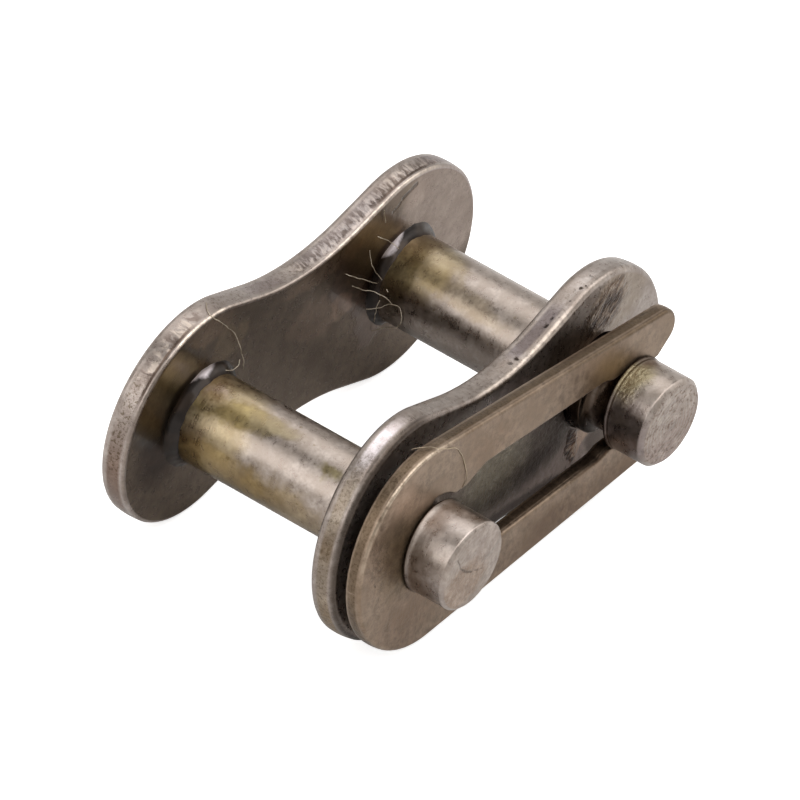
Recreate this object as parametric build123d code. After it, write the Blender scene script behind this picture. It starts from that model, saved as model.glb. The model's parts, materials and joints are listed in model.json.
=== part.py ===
from build123d import *

import math
import os

# Roller chain connecting link with a spring clip, in millimetres.
# X runs along the chain, from the clip's closed end to its mouth. Y runs along the pins, and the
# clip is on the -Y side. Z is up. The link stands on the lower edges of its two plates, and the
# origin is on that floor, below the middle of the link.

# Chain
pitch = 12.7                    # from one pin's axis to the other's
inner_width = 8.5               # clear width between the two plates

# Plates
plate_thickness = 1.2
lobe_radius = 4.75              # round end of a plate, about its pin
waist_half_height = 3.55        # half the plate's height midway between the pins
flank_length = 2.0              # straight edge between a lobe and the hollow curve of the waist
plate_edge_radius = 0.3         # tumbled edges of both plates

# Pins
pin_radius = 1.9
groove_depth = 0.4              # groove that takes the clip
groove_edge = 0.08              # broken edges of the groove
pin_tail = 1.95                 # pin in front of the clip
pin_chamfer = 0.22              # at the front end
rivet_height = 0.35             # peened end, behind the rear plate
rivet_spread = 0.12             # how far the peened end spreads past the pin
rivet_edge = 0.15

# Loose cover plate, which sits slightly askew on its pins
cover_lean_x = -3.4             # degrees about X, upper edge inwards
cover_lean_z = 2.5              # degrees about Z, end under the closed end of the clip outwards
cover_clearance = 0.045         # left between hole and pin when the plate leans

# Spring clip
clip_thickness = 0.7
clip_play = 0.9                 # between cover plate and clip, midway along the link
clip_lean_x = -4.6              # degrees about X, upper edge inwards, like the cover plate
groove_side_gap = 0.03          # on each side of the leaning clip in its groove
groove_slack = 0.25             # extra width of a groove, on the cover plate's side
seat_clearance = 0.03           # round the bottom of a groove
clip_setback = 0.4              # edge of the closed end, inside the plate's edge
clip_end_overhang = 0.27        # centre of the closed end, from its pin's axis away from the mouth
leg_width = 1.46                # each leg, near its tip
tip_radius = 0.82               # rounded tip of each leg
tip_reach = 2.74                # from the other pin's axis to the tips
relief_clearance = 0.08         # round opening beside the closed end's pin, which clears the pin
relief_offset = 0.1             # its centre, from the pin's axis towards the mouth
slot_clearance = 0.1            # on each side of a pin, where the slot is widest
slot_taper = 0.24               # how much each side of the slot comes in towards the mouth
slot_reach = 3.25               # from the closed end's pin to where the slot is widest
slot_slope = 1.2                # length of the slope that leads to it
seat_depth = 1.3                # open side of the other seat, from its pin's axis to the slot
seat_step = 0.6                 # length of the slope from that seat to the slot
leg_spread = 0.3                # how far each leg bends to snap past the groove
throat_reach = 1.65             # from the pin's axis to the end of the throat
clip_corner = 0.15              # corners of the opening, seen along the pins
clip_edge = 0.1                 # broken edges of the strip

# Places that follow from the sizes
axis_height = lobe_radius
pin_length = (rivet_height + 2 * plate_thickness + inner_width + clip_play + clip_thickness
              + pin_tail)
rear_end_y = pin_length / 2
rear_outer_y = rear_end_y - rivet_height
rear_inner_y = rear_outer_y - plate_thickness
cover_inner_y = rear_inner_y - inner_width
cover_outer_y = cover_inner_y - plate_thickness
clip_back_y = cover_outer_y - clip_play
clip_front_y = clip_back_y - clip_thickness
front_end_y = -rear_end_y
left_x = -pitch / 2
right_x = pitch / 2
groove_radius = pin_radius - groove_depth
clip_tilt = math.radians(abs(clip_lean_x))
clip_middle_y = (clip_front_y + clip_back_y) / 2
groove_gap = groove_side_gap + math.tan(clip_tilt) * pin_radius
seat_radius = (groove_radius / math.cos(clip_tilt) + math.tan(clip_tilt) * clip_thickness / 2
               + seat_clearance)
clip_end_radius = lobe_radius - clip_setback
relief_radius = pin_radius + relief_clearance
slot_half_wide = pin_radius + slot_clearance
slot_half_narrow = slot_half_wide - slot_taper
tip_half_height = slot_half_narrow + leg_width
throat_half_height = groove_radius - leg_spread


def across_pins(y):
    """Drawing plane across the pins at y: right is +X, up is +Z, and it faces the clip's side."""
    return Plane(origin=(0, y, axis_height), x_dir=(1, 0, 0), z_dir=(0, -1, 0))


def on_circle(centre, radius, angle):
    """Point of a circle at an angle from +X."""
    return (centre[0] + radius * math.cos(angle), centre[1] + radius * math.sin(angle))


def tangent_direction(start, end, reach, turn):
    """Direction at right angles to a common tangent of two circles, seen from the first centre.

    The reach is the sum of their radii for a tangent that crosses between them, and their
    difference for one that doesn't. A point counts as a circle of no radius.
    """
    across, up = end[0] - start[0], end[1] - start[1]
    return math.atan2(up, across) + turn * math.acos(reach / math.hypot(across, up))


def arc(centre, radius, start, end):
    """Arc from one angle to another, the way round that passes their mean."""
    middle = (start + end) / 2
    return ThreePointArc(*(on_circle(centre, radius, angle) for angle in (start, middle, end)))


def flipped(edges, plane):
    """The same edges with their mirror images."""
    return edges + [edge.mirror(plane) for edge in edges]


def closed_face(edges):
    """Face inside a closed run of edges, given in any order."""
    return make_face(Wire(edges, sequenced=True))


def plate_outline():
    """Figure-of-eight outline: two round lobes joined by straight flanks and hollow waists."""
    lobe = (right_x, 0)
    waist_radius = ((right_x**2 + waist_half_height**2 - lobe_radius**2 - flank_length**2)
                    / (2 * (lobe_radius - waist_half_height)))
    waist = (0, waist_half_height + waist_radius)
    flank = tangent_direction(lobe, waist, lobe_radius + waist_radius, -1)
    quarter = [
        arc(lobe, lobe_radius, 0, flank),
        Line(on_circle(lobe, lobe_radius, flank), on_circle(waist, -waist_radius, flank)),
        arc(waist, -waist_radius, flank, math.pi / 2),
    ]
    return closed_face(flipped(flipped(quarter, Plane.YZ), Plane.XZ))


def plate(back_y, hole_radius):
    """Blanked plate with two holes, whose face on the +Y side is at back_y."""
    drawing = across_pins(back_y)
    body = extrude(drawing * plate_outline(), plate_thickness)
    rims = body.faces().filter_by(Axis.Y).edges()
    body = fillet(rims, min(plate_edge_radius, 0.45 * plate_thickness))
    for x in (left_x, right_x):
        body -= extrude(drawing * Pos(x, 0) * Circle(hole_radius), plate_thickness)
    return body


def make_rear_plate():
    """Plate in which both pins are pressed and peened."""
    return plate(rear_outer_y, pin_radius)


def leaned(body, middle_y, lean_x, lean_z=0):
    """The body, turned about X and then about Z, about the link's middle at middle_y."""
    middle = Pos(0, middle_y, axis_height)
    return middle * Rot(Z=lean_z) * Rot(X=lean_x) * middle.inverse() * body


def make_cover_plate():
    """Loose plate, turned about its own middle, with holes that still clear the straight pins."""
    tilt = math.hypot(math.radians(cover_lean_x), math.radians(cover_lean_z))
    hole_radius = (pin_radius / math.cos(tilt) + math.tan(tilt) * plate_thickness / 2
                   + cover_clearance)
    middle_y = (cover_inner_y + cover_outer_y) / 2
    return leaned(plate(cover_inner_y, hole_radius), middle_y, cover_lean_x, cover_lean_z)


def make_pin(x):
    """Turned pin: chamfered front end, groove for the clip, plain shank and peened rear end."""
    groove_back_y = clip_back_y + groove_gap + groove_slack
    groove_front_y = clip_front_y - groove_gap
    head_radius = pin_radius + rivet_spread
    profile = Polyline(
        (0, front_end_y),
        (pin_radius - pin_chamfer, front_end_y),
        (pin_radius, front_end_y + pin_chamfer),
        (pin_radius, groove_front_y - groove_edge),
        (pin_radius - groove_edge, groove_front_y),
        (groove_radius, groove_front_y),
        (groove_radius, groove_back_y),
        (pin_radius - groove_edge, groove_back_y),
        (pin_radius, groove_back_y + groove_edge),
        (pin_radius, rear_outer_y),
        (head_radius, rear_outer_y),
        (head_radius, rear_end_y - rivet_edge),
        (head_radius - rivet_edge, rear_end_y),
        (0, rear_end_y),
        close=True,
    )
    return Pos(x, 0, axis_height) * revolve(make_face(profile), Axis.Y)


def clip_outline():
    """Outline of the clip, and the corners of its opening above the pins' axes."""
    closed_end = (left_x - clip_end_overhang, 0)
    tip = (right_x + tip_reach - tip_radius, tip_half_height - tip_radius)
    back = tangent_direction(closed_end, tip, clip_end_radius - tip_radius, 1)

    mouth_corner = (right_x + throat_reach, throat_half_height)
    lead_in = tangent_direction(tip, mouth_corner, tip_radius, 1)
    throat = math.asin(throat_half_height / seat_radius)
    throat_corner = on_circle((right_x, 0), seat_radius, throat)
    seat_corner = (right_x - seat_depth, seat_radius)
    slot_end = (seat_corner[0] - seat_step, slot_half_narrow)

    slot_corner = (left_x + slot_reach, slot_half_wide)
    neck_corner = (slot_corner[0] - slot_slope, seat_radius)

    relief = (left_x + relief_offset, 0)
    relief_start = math.asin(seat_radius / relief_radius)
    relief_end = math.acos((left_x - relief[0]) / relief_radius)
    relief_corner = on_circle(relief, relief_radius, relief_start)
    step_corner = on_circle(relief, relief_radius, relief_end)

    upper = [
        arc(closed_end, clip_end_radius, math.pi, back),
        Line(on_circle(closed_end, clip_end_radius, back), on_circle(tip, tip_radius, back)),
        arc(tip, tip_radius, back, lead_in),
        Line(on_circle(tip, tip_radius, lead_in), mouth_corner),
        Line(mouth_corner, throat_corner),
        arc((right_x, 0), seat_radius, throat, math.pi / 2),
        Line((right_x, seat_radius), seat_corner),
        Line(seat_corner, slot_end),
        Line(slot_end, slot_corner),
        Line(slot_corner, neck_corner),
        Line(neck_corner, relief_corner),
        arc(relief, relief_radius, relief_start, relief_end),
        Line(step_corner, (left_x, seat_radius)),
        arc((left_x, 0), seat_radius, math.pi / 2, math.pi),
    ]
    corners = [mouth_corner, throat_corner, seat_corner, slot_end, slot_corner, neck_corner,
               relief_corner, step_corner]
    return closed_face(flipped(upper, Plane.XZ)), corners


def make_spring_clip():
    """Flat slotted strip, closed round one pin and open past the other, leaning in its grooves."""
    outline, corners = clip_outline()
    body = extrude(across_pins(clip_back_y) * outline, clip_thickness)
    near = 0.01 * clip_thickness
    spots = [Vector(x, clip_back_y, axis_height + side * z) for x, z in corners for side in (1, -1)]
    sharp = [edge for edge in body.edges().filter_by(Axis.Y)
             if any((edge @ end - spot).length < near for spot in spots for end in (0, 1))]
    body = fillet(sharp, clip_corner)
    rims = body.faces().filter_by(Axis.Y).edges()
    return leaned(chamfer(rims, clip_edge), clip_middle_y, clip_lean_x)


def main():
    """Writes each piece to its own file."""
    pieces = {
        "rear_plate": make_rear_plate(),
        "left_pin": make_pin(left_x),
        "right_pin": make_pin(right_x),
        "cover_plate": make_cover_plate(),
        "spring_clip": make_spring_clip(),
    }
    os.makedirs("parts", exist_ok=True)
    for name, piece in pieces.items():
        export_step(piece, f"parts/{name}.step")


main()
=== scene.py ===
"""Chain connecting link with a spring clip: its detailed pieces, finishes, studio and camera.

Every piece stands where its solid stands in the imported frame. Sizes are in millimetres until a
mesh is written, and then in metres. X runs along the chain to the clip's mouth, Y along the pins
to the plate that they are peened in, and Z is up.
"""

import json
import logging
import math
from dataclasses import dataclass
from enum import Enum
from typing import Sequence

import bmesh
import bpy
import numpy as np
from mathutils import Matrix, Vector


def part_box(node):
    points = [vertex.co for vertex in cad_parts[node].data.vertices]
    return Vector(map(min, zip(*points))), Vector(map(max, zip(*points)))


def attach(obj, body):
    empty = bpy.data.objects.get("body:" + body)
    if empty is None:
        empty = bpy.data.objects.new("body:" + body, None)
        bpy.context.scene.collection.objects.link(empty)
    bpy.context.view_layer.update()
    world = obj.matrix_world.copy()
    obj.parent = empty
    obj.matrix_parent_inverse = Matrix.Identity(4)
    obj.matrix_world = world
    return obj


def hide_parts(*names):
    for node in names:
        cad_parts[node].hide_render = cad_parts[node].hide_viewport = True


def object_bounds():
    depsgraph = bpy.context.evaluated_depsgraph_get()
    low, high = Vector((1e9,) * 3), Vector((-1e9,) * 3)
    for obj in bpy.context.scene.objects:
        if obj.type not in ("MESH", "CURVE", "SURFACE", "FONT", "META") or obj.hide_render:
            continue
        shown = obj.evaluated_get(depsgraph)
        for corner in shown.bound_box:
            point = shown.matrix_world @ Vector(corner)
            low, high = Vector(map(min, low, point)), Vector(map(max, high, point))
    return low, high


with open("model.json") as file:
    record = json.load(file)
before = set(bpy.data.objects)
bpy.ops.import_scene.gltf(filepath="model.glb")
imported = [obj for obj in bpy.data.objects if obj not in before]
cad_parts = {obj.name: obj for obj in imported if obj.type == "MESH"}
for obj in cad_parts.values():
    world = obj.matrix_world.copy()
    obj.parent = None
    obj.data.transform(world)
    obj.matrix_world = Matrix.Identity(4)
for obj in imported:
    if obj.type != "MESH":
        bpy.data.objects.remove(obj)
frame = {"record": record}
CAD_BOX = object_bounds()

MM = 0.001
CLIP_LEAN = -4.6        # degrees about X, the lean of the clip's solid
FLOOR_DROP = 0.00001    # metres from the lowest solid down to the floor
log = logging.getLogger("connecting_link")

Colour = tuple[float, float, float]
Place = tuple[float, float, float]
Socket = bpy.types.NodeSocket


def tone(red: float, green: float, blue: float) -> Colour:
    """Linear colour of a shade given as it is seen, each channel from 0 to 255."""
    return tuple((c / 255 / 12.92) if c <= 10 else ((c / 255 + 0.055) / 1.055) ** 2.4
                 for c in (red, green, blue))


def direction(azimuth: float, elevation: float) -> Vector:
    """Direction away from the link, from its azimuth and elevation in degrees."""
    a, e = math.radians(azimuth), math.radians(elevation)
    return Vector((math.sin(a) * math.cos(e), -math.cos(a) * math.cos(e), math.sin(e)))


# Sizes

@dataclass(frozen=True)
class LinkSizes:
    """Main sizes and places of the link, in millimetres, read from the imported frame."""

    left_x: float
    right_x: float
    axis_z: float
    pin_radius: float
    head_radius: float
    pin_front: float
    pin_back: float
    rear_front: float
    rear_back: float
    cover_middle: float
    lobe_radius: float
    clip_middle: float
    clip_right: float

    @property
    def thickness(self) -> float:
        """Thickness of either plate."""
        return self.rear_back - self.rear_front

    @classmethod
    def from_frame(cls) -> "LinkSizes":
        """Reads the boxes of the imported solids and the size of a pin's journal.

        Returns:
            The sizes, in millimetres.
        """
        low, high = {}, {}
        for node in ("rear_plate", "cover_plate", "left_pin", "right_pin", "spring_clip"):
            low[node], high[node] = (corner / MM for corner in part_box(node))
        journal = next(m for m in frame["record"]["mounts"] if m["name"] == "left_journal")
        left, right = ((low[pin].x + high[pin].x) / 2 for pin in ("left_pin", "right_pin"))
        return cls(
            left_x=left,
            right_x=right,
            axis_z=(low["left_pin"].z + high["left_pin"].z) / 2,
            pin_radius=journal["dims"]["r_mm"],
            head_radius=(high["left_pin"].z - low["left_pin"].z) / 2,
            pin_front=low["left_pin"].y,
            pin_back=high["left_pin"].y,
            rear_front=low["rear_plate"].y,
            rear_back=high["rear_plate"].y,
            cover_middle=(low["cover_plate"].y + high["cover_plate"].y) / 2,
            lobe_radius=(high["rear_plate"].z - low["rear_plate"].z) / 2,
            clip_middle=(low["spring_clip"].y + high["spring_clip"].y) / 2,
            clip_right=high["spring_clip"].x,
        )

    def leaned(self, mesh: bpy.types.Mesh, middle_y: float, lean_x: float,
               lean_z: float = 0.0) -> None:
        """Turns a mesh about X and then about Z, about the link's middle at a given Y.

        Args:
            mesh: the mesh, in metres.
            middle_y: Y of the point that stays, in millimetres.
            lean_x: turn about X, in degrees.
            lean_z: turn about Z, in degrees.
        """
        middle = Vector((0, middle_y, self.axis_z)) * MM
        mesh.transform(Matrix.Translation(middle) @ Matrix.Rotation(math.radians(lean_z), 4, "Z")
                       @ Matrix.Rotation(math.radians(lean_x), 4, "X")
                       @ Matrix.Translation(-middle))


# Outlines

def on_circle(centre: complex, radius: float, angle: float) -> complex:
    """Point of a circle at an angle from +X."""
    return centre + radius * complex(math.cos(angle), math.sin(angle))


def arc(centre: complex, radius: float, start: float, end: float,
        steps: int = 160) -> list[complex]:
    """Points along an arc, both ends included."""
    return [on_circle(centre, radius, angle) for angle in np.linspace(start, end, steps)]


def tangent_direction(start: complex, end: complex, reach: float, turn: int) -> float:
    """Direction at right angles to a common tangent of two circles, seen from the first centre.

    Args:
        start: centre of the first circle.
        end: centre of the second circle.
        reach: sum of the radii for a tangent that crosses between them, and their difference else.
        turn: 1 or -1, the side that the tangent lies on.

    Returns:
        The angle from +X, in radians.
    """
    gap = end - start
    return math.atan2(gap.imag, gap.real) + turn * math.acos(reach / abs(gap))


@dataclass(frozen=True)
class Outline:
    """Closed run of evenly spaced points in the plane across the pins, counter-clockwise."""

    points: np.ndarray
    outward: np.ndarray
    spacing: float

    @classmethod
    def through(cls, corners: Sequence[complex], spacing: float,
                rounding: float = 0.0) -> "Outline":
        """Spaces points evenly along a closed line and rounds its corners.

        Args:
            corners: points of the closed line, either way round.
            spacing: distance between the new points.
            rounding: how far the corners are softened; long curves keep their place.

        Returns:
            The outline.
        """
        line = np.array(list(corners) + [corners[0]])
        area = np.sum(line[:-1].real * line[1:].imag - line[1:].real * line[:-1].imag)
        line = line if area > 0 else line[::-1]
        length = np.concatenate([[0.0], np.cumsum(np.abs(np.diff(line)))])
        for step in (spacing / 6, spacing):
            count = max(12, round(length[-1] / step))
            at = np.linspace(0, length[-1], count, endpoint=False)
            points = np.interp(at, length, line.real) + 1j * np.interp(at, length, line.imag)
            if step < spacing and rounding:
                pitch = np.fft.fftfreq(count, d=length[-1] / count)
                points = np.fft.ifft(np.fft.fft(points)
                                     * np.exp(-2 * (math.pi * pitch * rounding) ** 2))
            line = np.append(points, points[0])
            length = np.concatenate([[0.0], np.cumsum(np.abs(np.diff(line)))])
        along = np.roll(points, -1) - np.roll(points, 1)
        return cls(points, -1j * along / np.abs(along), length[-1] / count)

    def inset(self, depth: float) -> np.ndarray:
        """The points, moved into the material."""
        return self.points - depth * self.outward


@dataclass(frozen=True)
class Ring:
    """Ring of an edge's profile: its depth inside the outline and its place across the sheet."""

    depth: float
    height: float
    lip: float = 0.0
    wall: float = 0.0
    face: float = 0.0


@dataclass(frozen=True)
class EdgeShape:
    """Section of a blanked edge, from its front face to its back face, in millimetres."""

    thickness: float
    front_lip: float
    back_round: float
    crown: float = 0.02
    support: float = 0.025
    arc_steps: int = 6
    wall_steps: int = 5

    def rings(self) -> list[Ring]:
        """Rings of the profile, with a close one on each face that keeps its shading flat."""
        front = [Ring(self.crown + self.front_lip * (1 - math.sin(a)),
                      self.front_lip * (1 - math.cos(a)), lip=math.sin(2 * a), face=float(a == 0))
                 for a in np.linspace(0, math.pi / 2, self.arc_steps + 1)]
        back = [Ring(self.crown + self.back_round * (1 - math.cos(a)),
                     self.thickness - self.back_round * (1 - math.sin(a)))
                for a in np.linspace(0, math.pi / 2, self.arc_steps + 1)]
        span = self.thickness - self.front_lip - self.back_round
        wall = [Ring(self.crown * (2 * t - 1) ** 2, self.front_lip + t * span, wall=1.0)
                for t in np.linspace(0, 1, self.wall_steps + 2)[1:-1]]
        first = Ring(self.crown + self.front_lip + self.support, 0.0, face=1.0)
        last = Ring(self.crown + self.back_round + self.support, self.thickness)
        return [first] + front + wall + back + [last]


def blanked_mesh(name: str, outer: Outline, holes: Sequence[Outline], edge: EdgeShape,
                 hole_edge: EdgeShape, front: float) -> bpy.types.Mesh:
    """Mesh of a strip cut from sheet, with rounded edges and holes, standing across the pins.

    Args:
        name: name of the mesh.
        outer: outline of the strip.
        holes: outlines of its holes, given as outlines of the pieces cut out.
        edge: section of the outer edge.
        hole_edge: section of the holes' edges.
        front: Y of the front face, in millimetres.

    Returns:
        The mesh, in metres, with a UV map "edge" along its walls and the masks "lip", "wall" and
        "face".
    """
    verts, quads, uvs, masks, fronts, backs = [], [], [], [], [], []
    for loop, shape, sign in [(outer, edge, 1)] + [(hole, hole_edge, -1) for hole in holes]:
        rings, count = shape.rings(), len(loop.points)
        base = len(verts)
        for ring in rings:
            flat = loop.inset(sign * ring.depth)
            verts += [(p.real, front + ring.height, p.imag) for p in flat]
            masks += [(ring.lip, ring.wall, ring.face)] * count
        for j in range(len(rings) - 1):
            for i in range(count):
                k = (i + 1) % count
                a, b = base + j * count + i, base + j * count + k
                c, d = b + count, a + count
                low, high = i * loop.spacing, (i + 1) * loop.spacing
                v0, v1 = rings[j].height, rings[j + 1].height
                quad, uv = [a, b, c, d], [(low, v0), (high, v0), (high, v1), (low, v1)]
                quads.append(quad if sign > 0 else quad[::-1])
                uvs.append(uv if sign > 0 else uv[::-1])
        fronts.append([base + i for i in range(count)])
        backs.append([base + (len(rings) - 1) * count + i for i in range(count)])

    mesh = bpy.data.meshes.new(name)
    mesh.from_pydata([tuple(c * MM for c in v) for v in verts], [], quads)
    layer = mesh.uv_layers.new(name="edge")
    layer.data.foreach_set("uv", np.array(uvs, np.float32).ravel())
    for label, values in zip(("lip", "wall", "face"), np.array(masks, np.float32).T):
        mesh.attributes.new(label, "FLOAT", "POINT").data.foreach_set("value",
                                                                      np.ascontiguousarray(values))

    work = bmesh.new()
    work.from_mesh(mesh)
    work.verts.ensure_lookup_table()
    for loops, facing in ((fronts, -1.0), (backs, 1.0)):
        rims = []
        for loop in loops:
            for a, b in zip(loop, loop[1:] + loop[:1]):
                rims.append(work.edges.get((work.verts[a], work.verts[b])))
        made = bmesh.ops.triangle_fill(work, edges=rims, use_beauty=True)["geom"]
        for face in (g for g in made if isinstance(g, bmesh.types.BMFace)):
            face.normal_update()
            if face.normal.y * facing < 0:
                face.normal_flip()
    bmesh.ops.recalc_face_normals(work, faces=work.faces)
    work.to_mesh(mesh)
    work.free()
    mesh.shade_smooth()
    return mesh


# Node trees

class Graph:
    """Short calls for building a node tree, in a material, a group or a Geometry Nodes tree."""

    def __init__(self, tree: bpy.types.NodeTree) -> None:
        """Keeps the tree that the calls write to."""
        self.tree = tree

    def feed(self, socket: Socket, value: object) -> None:
        """Links a socket to another one, or sets its own value."""
        if isinstance(value, bpy.types.NodeSocket):
            self.tree.links.new(value, socket)
        else:
            socket.default_value = value

    def node(self, kind: str, inputs: dict | None = None, **settings: object) -> bpy.types.Node:
        """Adds a node.

        Args:
            kind: Blender's type of the node.
            inputs: values or sockets for its inputs, by name or number.
            settings: values for its other properties.

        Returns:
            The node.
        """
        node = self.tree.nodes.new(kind)
        for key, value in settings.items():
            setattr(node, key, value)
        for key, value in (inputs or {}).items():
            self.feed(node.inputs[key], value)
        return node

    def math(self, operation: str, a: object, b: object = 0.0, c: object = 0.0,
             clamp: bool = False) -> Socket:
        """Result of a Math node."""
        return self.node("ShaderNodeMath", {0: a, 1: b, 2: c}, operation=operation,
                         use_clamp=clamp).outputs[0]

    def times(self, a: object, b: object) -> Socket:
        """Product of two values."""
        return self.math("MULTIPLY", a, b)

    def vector(self, operation: str, a: object, b: object = (0.0, 0.0, 0.0),
               scale: object = 1.0) -> Socket:
        """Result of a Vector Math node; its value for a length or a dot product."""
        node = self.node("ShaderNodeVectorMath", operation=operation)
        self.feed(node.inputs[0], a)
        if operation == "SCALE":
            self.feed(node.inputs["Scale"], scale)
        elif len(node.inputs) > 1 and operation not in ("LENGTH", "NORMALIZE"):
            self.feed(node.inputs[1], b)
        return node.outputs["Value" if operation in ("LENGTH", "DOT_PRODUCT", "DISTANCE")
                            else "Vector"]

    def combine(self, x: object = 0.0, y: object = 0.0, z: object = 0.0) -> Socket:
        """Vector of three values."""
        return self.node("ShaderNodeCombineXYZ", {0: x, 1: y, 2: z}).outputs[0]

    def separate(self, vector: Socket) -> tuple[Socket, Socket, Socket]:
        """The three values of a vector."""
        return tuple(self.node("ShaderNodeSeparateXYZ", {0: vector}).outputs[:3])

    def turned(self, vector: Socket, angle: object) -> Socket:
        """Vector turned about Y by an angle in radians."""
        return self.node("ShaderNodeVectorRotate", {"Vector": vector, "Angle": angle},
                         rotation_type="Y_AXIS").outputs[0]

    def place(self) -> Socket:
        """Place on the object, in millimetres."""
        return self.vector("SCALE", self.node("ShaderNodeTexCoord").outputs["Object"], scale=1 / MM)

    def noise(self, vector: Socket, scale: object, detail: float = 2.0, roughness: float = 0.5,
              distortion: float = 0.0) -> Socket:
        """Noise from 0 to 1, about 0.5 in the middle."""
        return self.node("ShaderNodeTexNoise", {"Vector": vector, "Scale": scale, "Detail": detail,
                                                "Roughness": roughness,
                                                "Distortion": distortion}).outputs["Fac"]

    def steps(self, value: Socket, low: object, high: object, to_low: object = 0.0,
              to_high: object = 1.0) -> Socket:
        """Value mapped smoothly from one range to another, and clamped."""
        node = self.node("ShaderNodeMapRange", {"Value": value, "From Min": low, "From Max": high,
                                                "To Min": to_low, "To Max": to_high},
                         interpolation_type="SMOOTHSTEP")
        return node.outputs["Result"]

    def mix(self, share: object, a: object, b: object, blend: str = "MIX") -> Socket:
        """Mix of two colours."""
        node = self.node("ShaderNodeMix", data_type="RGBA", blend_type=blend)
        for key, value in ((0, share), (6, a), (7, b)):
            if isinstance(value, tuple) and len(value) == 3:
                value = (*value, 1.0)
            self.feed(node.inputs[key], value)
        return node.outputs[2]

    def end(self, shader: bpy.types.Node, kind: str = "ShaderNodeOutputMaterial") -> None:
        """Puts out a shader as the surface of the material or world."""
        self.feed(self.node(kind).inputs["Surface"], shader.outputs[0])

    def group(self, tree: bpy.types.NodeTree, **inputs: object) -> bpy.types.Node:
        """Places a group; an input's underscore stands for a space in its name."""
        node = self.node("ShaderNodeGroup", node_tree=tree)
        for key, value in inputs.items():
            self.feed(node.inputs[key.replace("_", " ")], value)
        return node


class Kind(Enum):
    """Kinds of sockets that the groups use."""

    FLOAT = "NodeSocketFloat"
    VECTOR = "NodeSocketVector"
    GEOMETRY = "NodeSocketGeometry"
    MATERIAL = "NodeSocketMaterial"
    INT = "NodeSocketInt"


def open_group(name: str, family: str, inputs: Sequence[tuple[str, Kind, object]],
               outputs: Sequence[tuple[str, Kind]]) -> tuple[Graph, dict[str, Socket],
                                                             bpy.types.Node]:
    """Starts a node group.

    Args:
        name: name of the group.
        family: Blender's type of the tree.
        inputs: name, kind and default of each input.
        outputs: name and kind of each output.

    Returns:
        The graph, its input sockets by name, and its output node.
    """
    tree = bpy.data.node_groups.new(name, family)
    for label, kind, default in inputs:
        socket = tree.interface.new_socket(label, in_out="INPUT", socket_type=kind.value)
        if default is not None:
            socket.default_value = default
    for label, kind in outputs:
        tree.interface.new_socket(label, in_out="OUTPUT", socket_type=kind.value)
    graph = Graph(tree)
    start = graph.node("NodeGroupInput")
    end = graph.node("NodeGroupOutput")
    return graph, {label: start.outputs[label] for label, _, _ in inputs}, end


def open_shader(owner: bpy.types.Material | bpy.types.World) -> Graph:
    """Starts the node tree of a material or world, with no nodes in it."""
    owner.use_nodes = True
    owner.node_tree.nodes.clear()
    return Graph(owner.node_tree)


# Shader groups that the finishes share. Their vectors are in millimetres.

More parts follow.
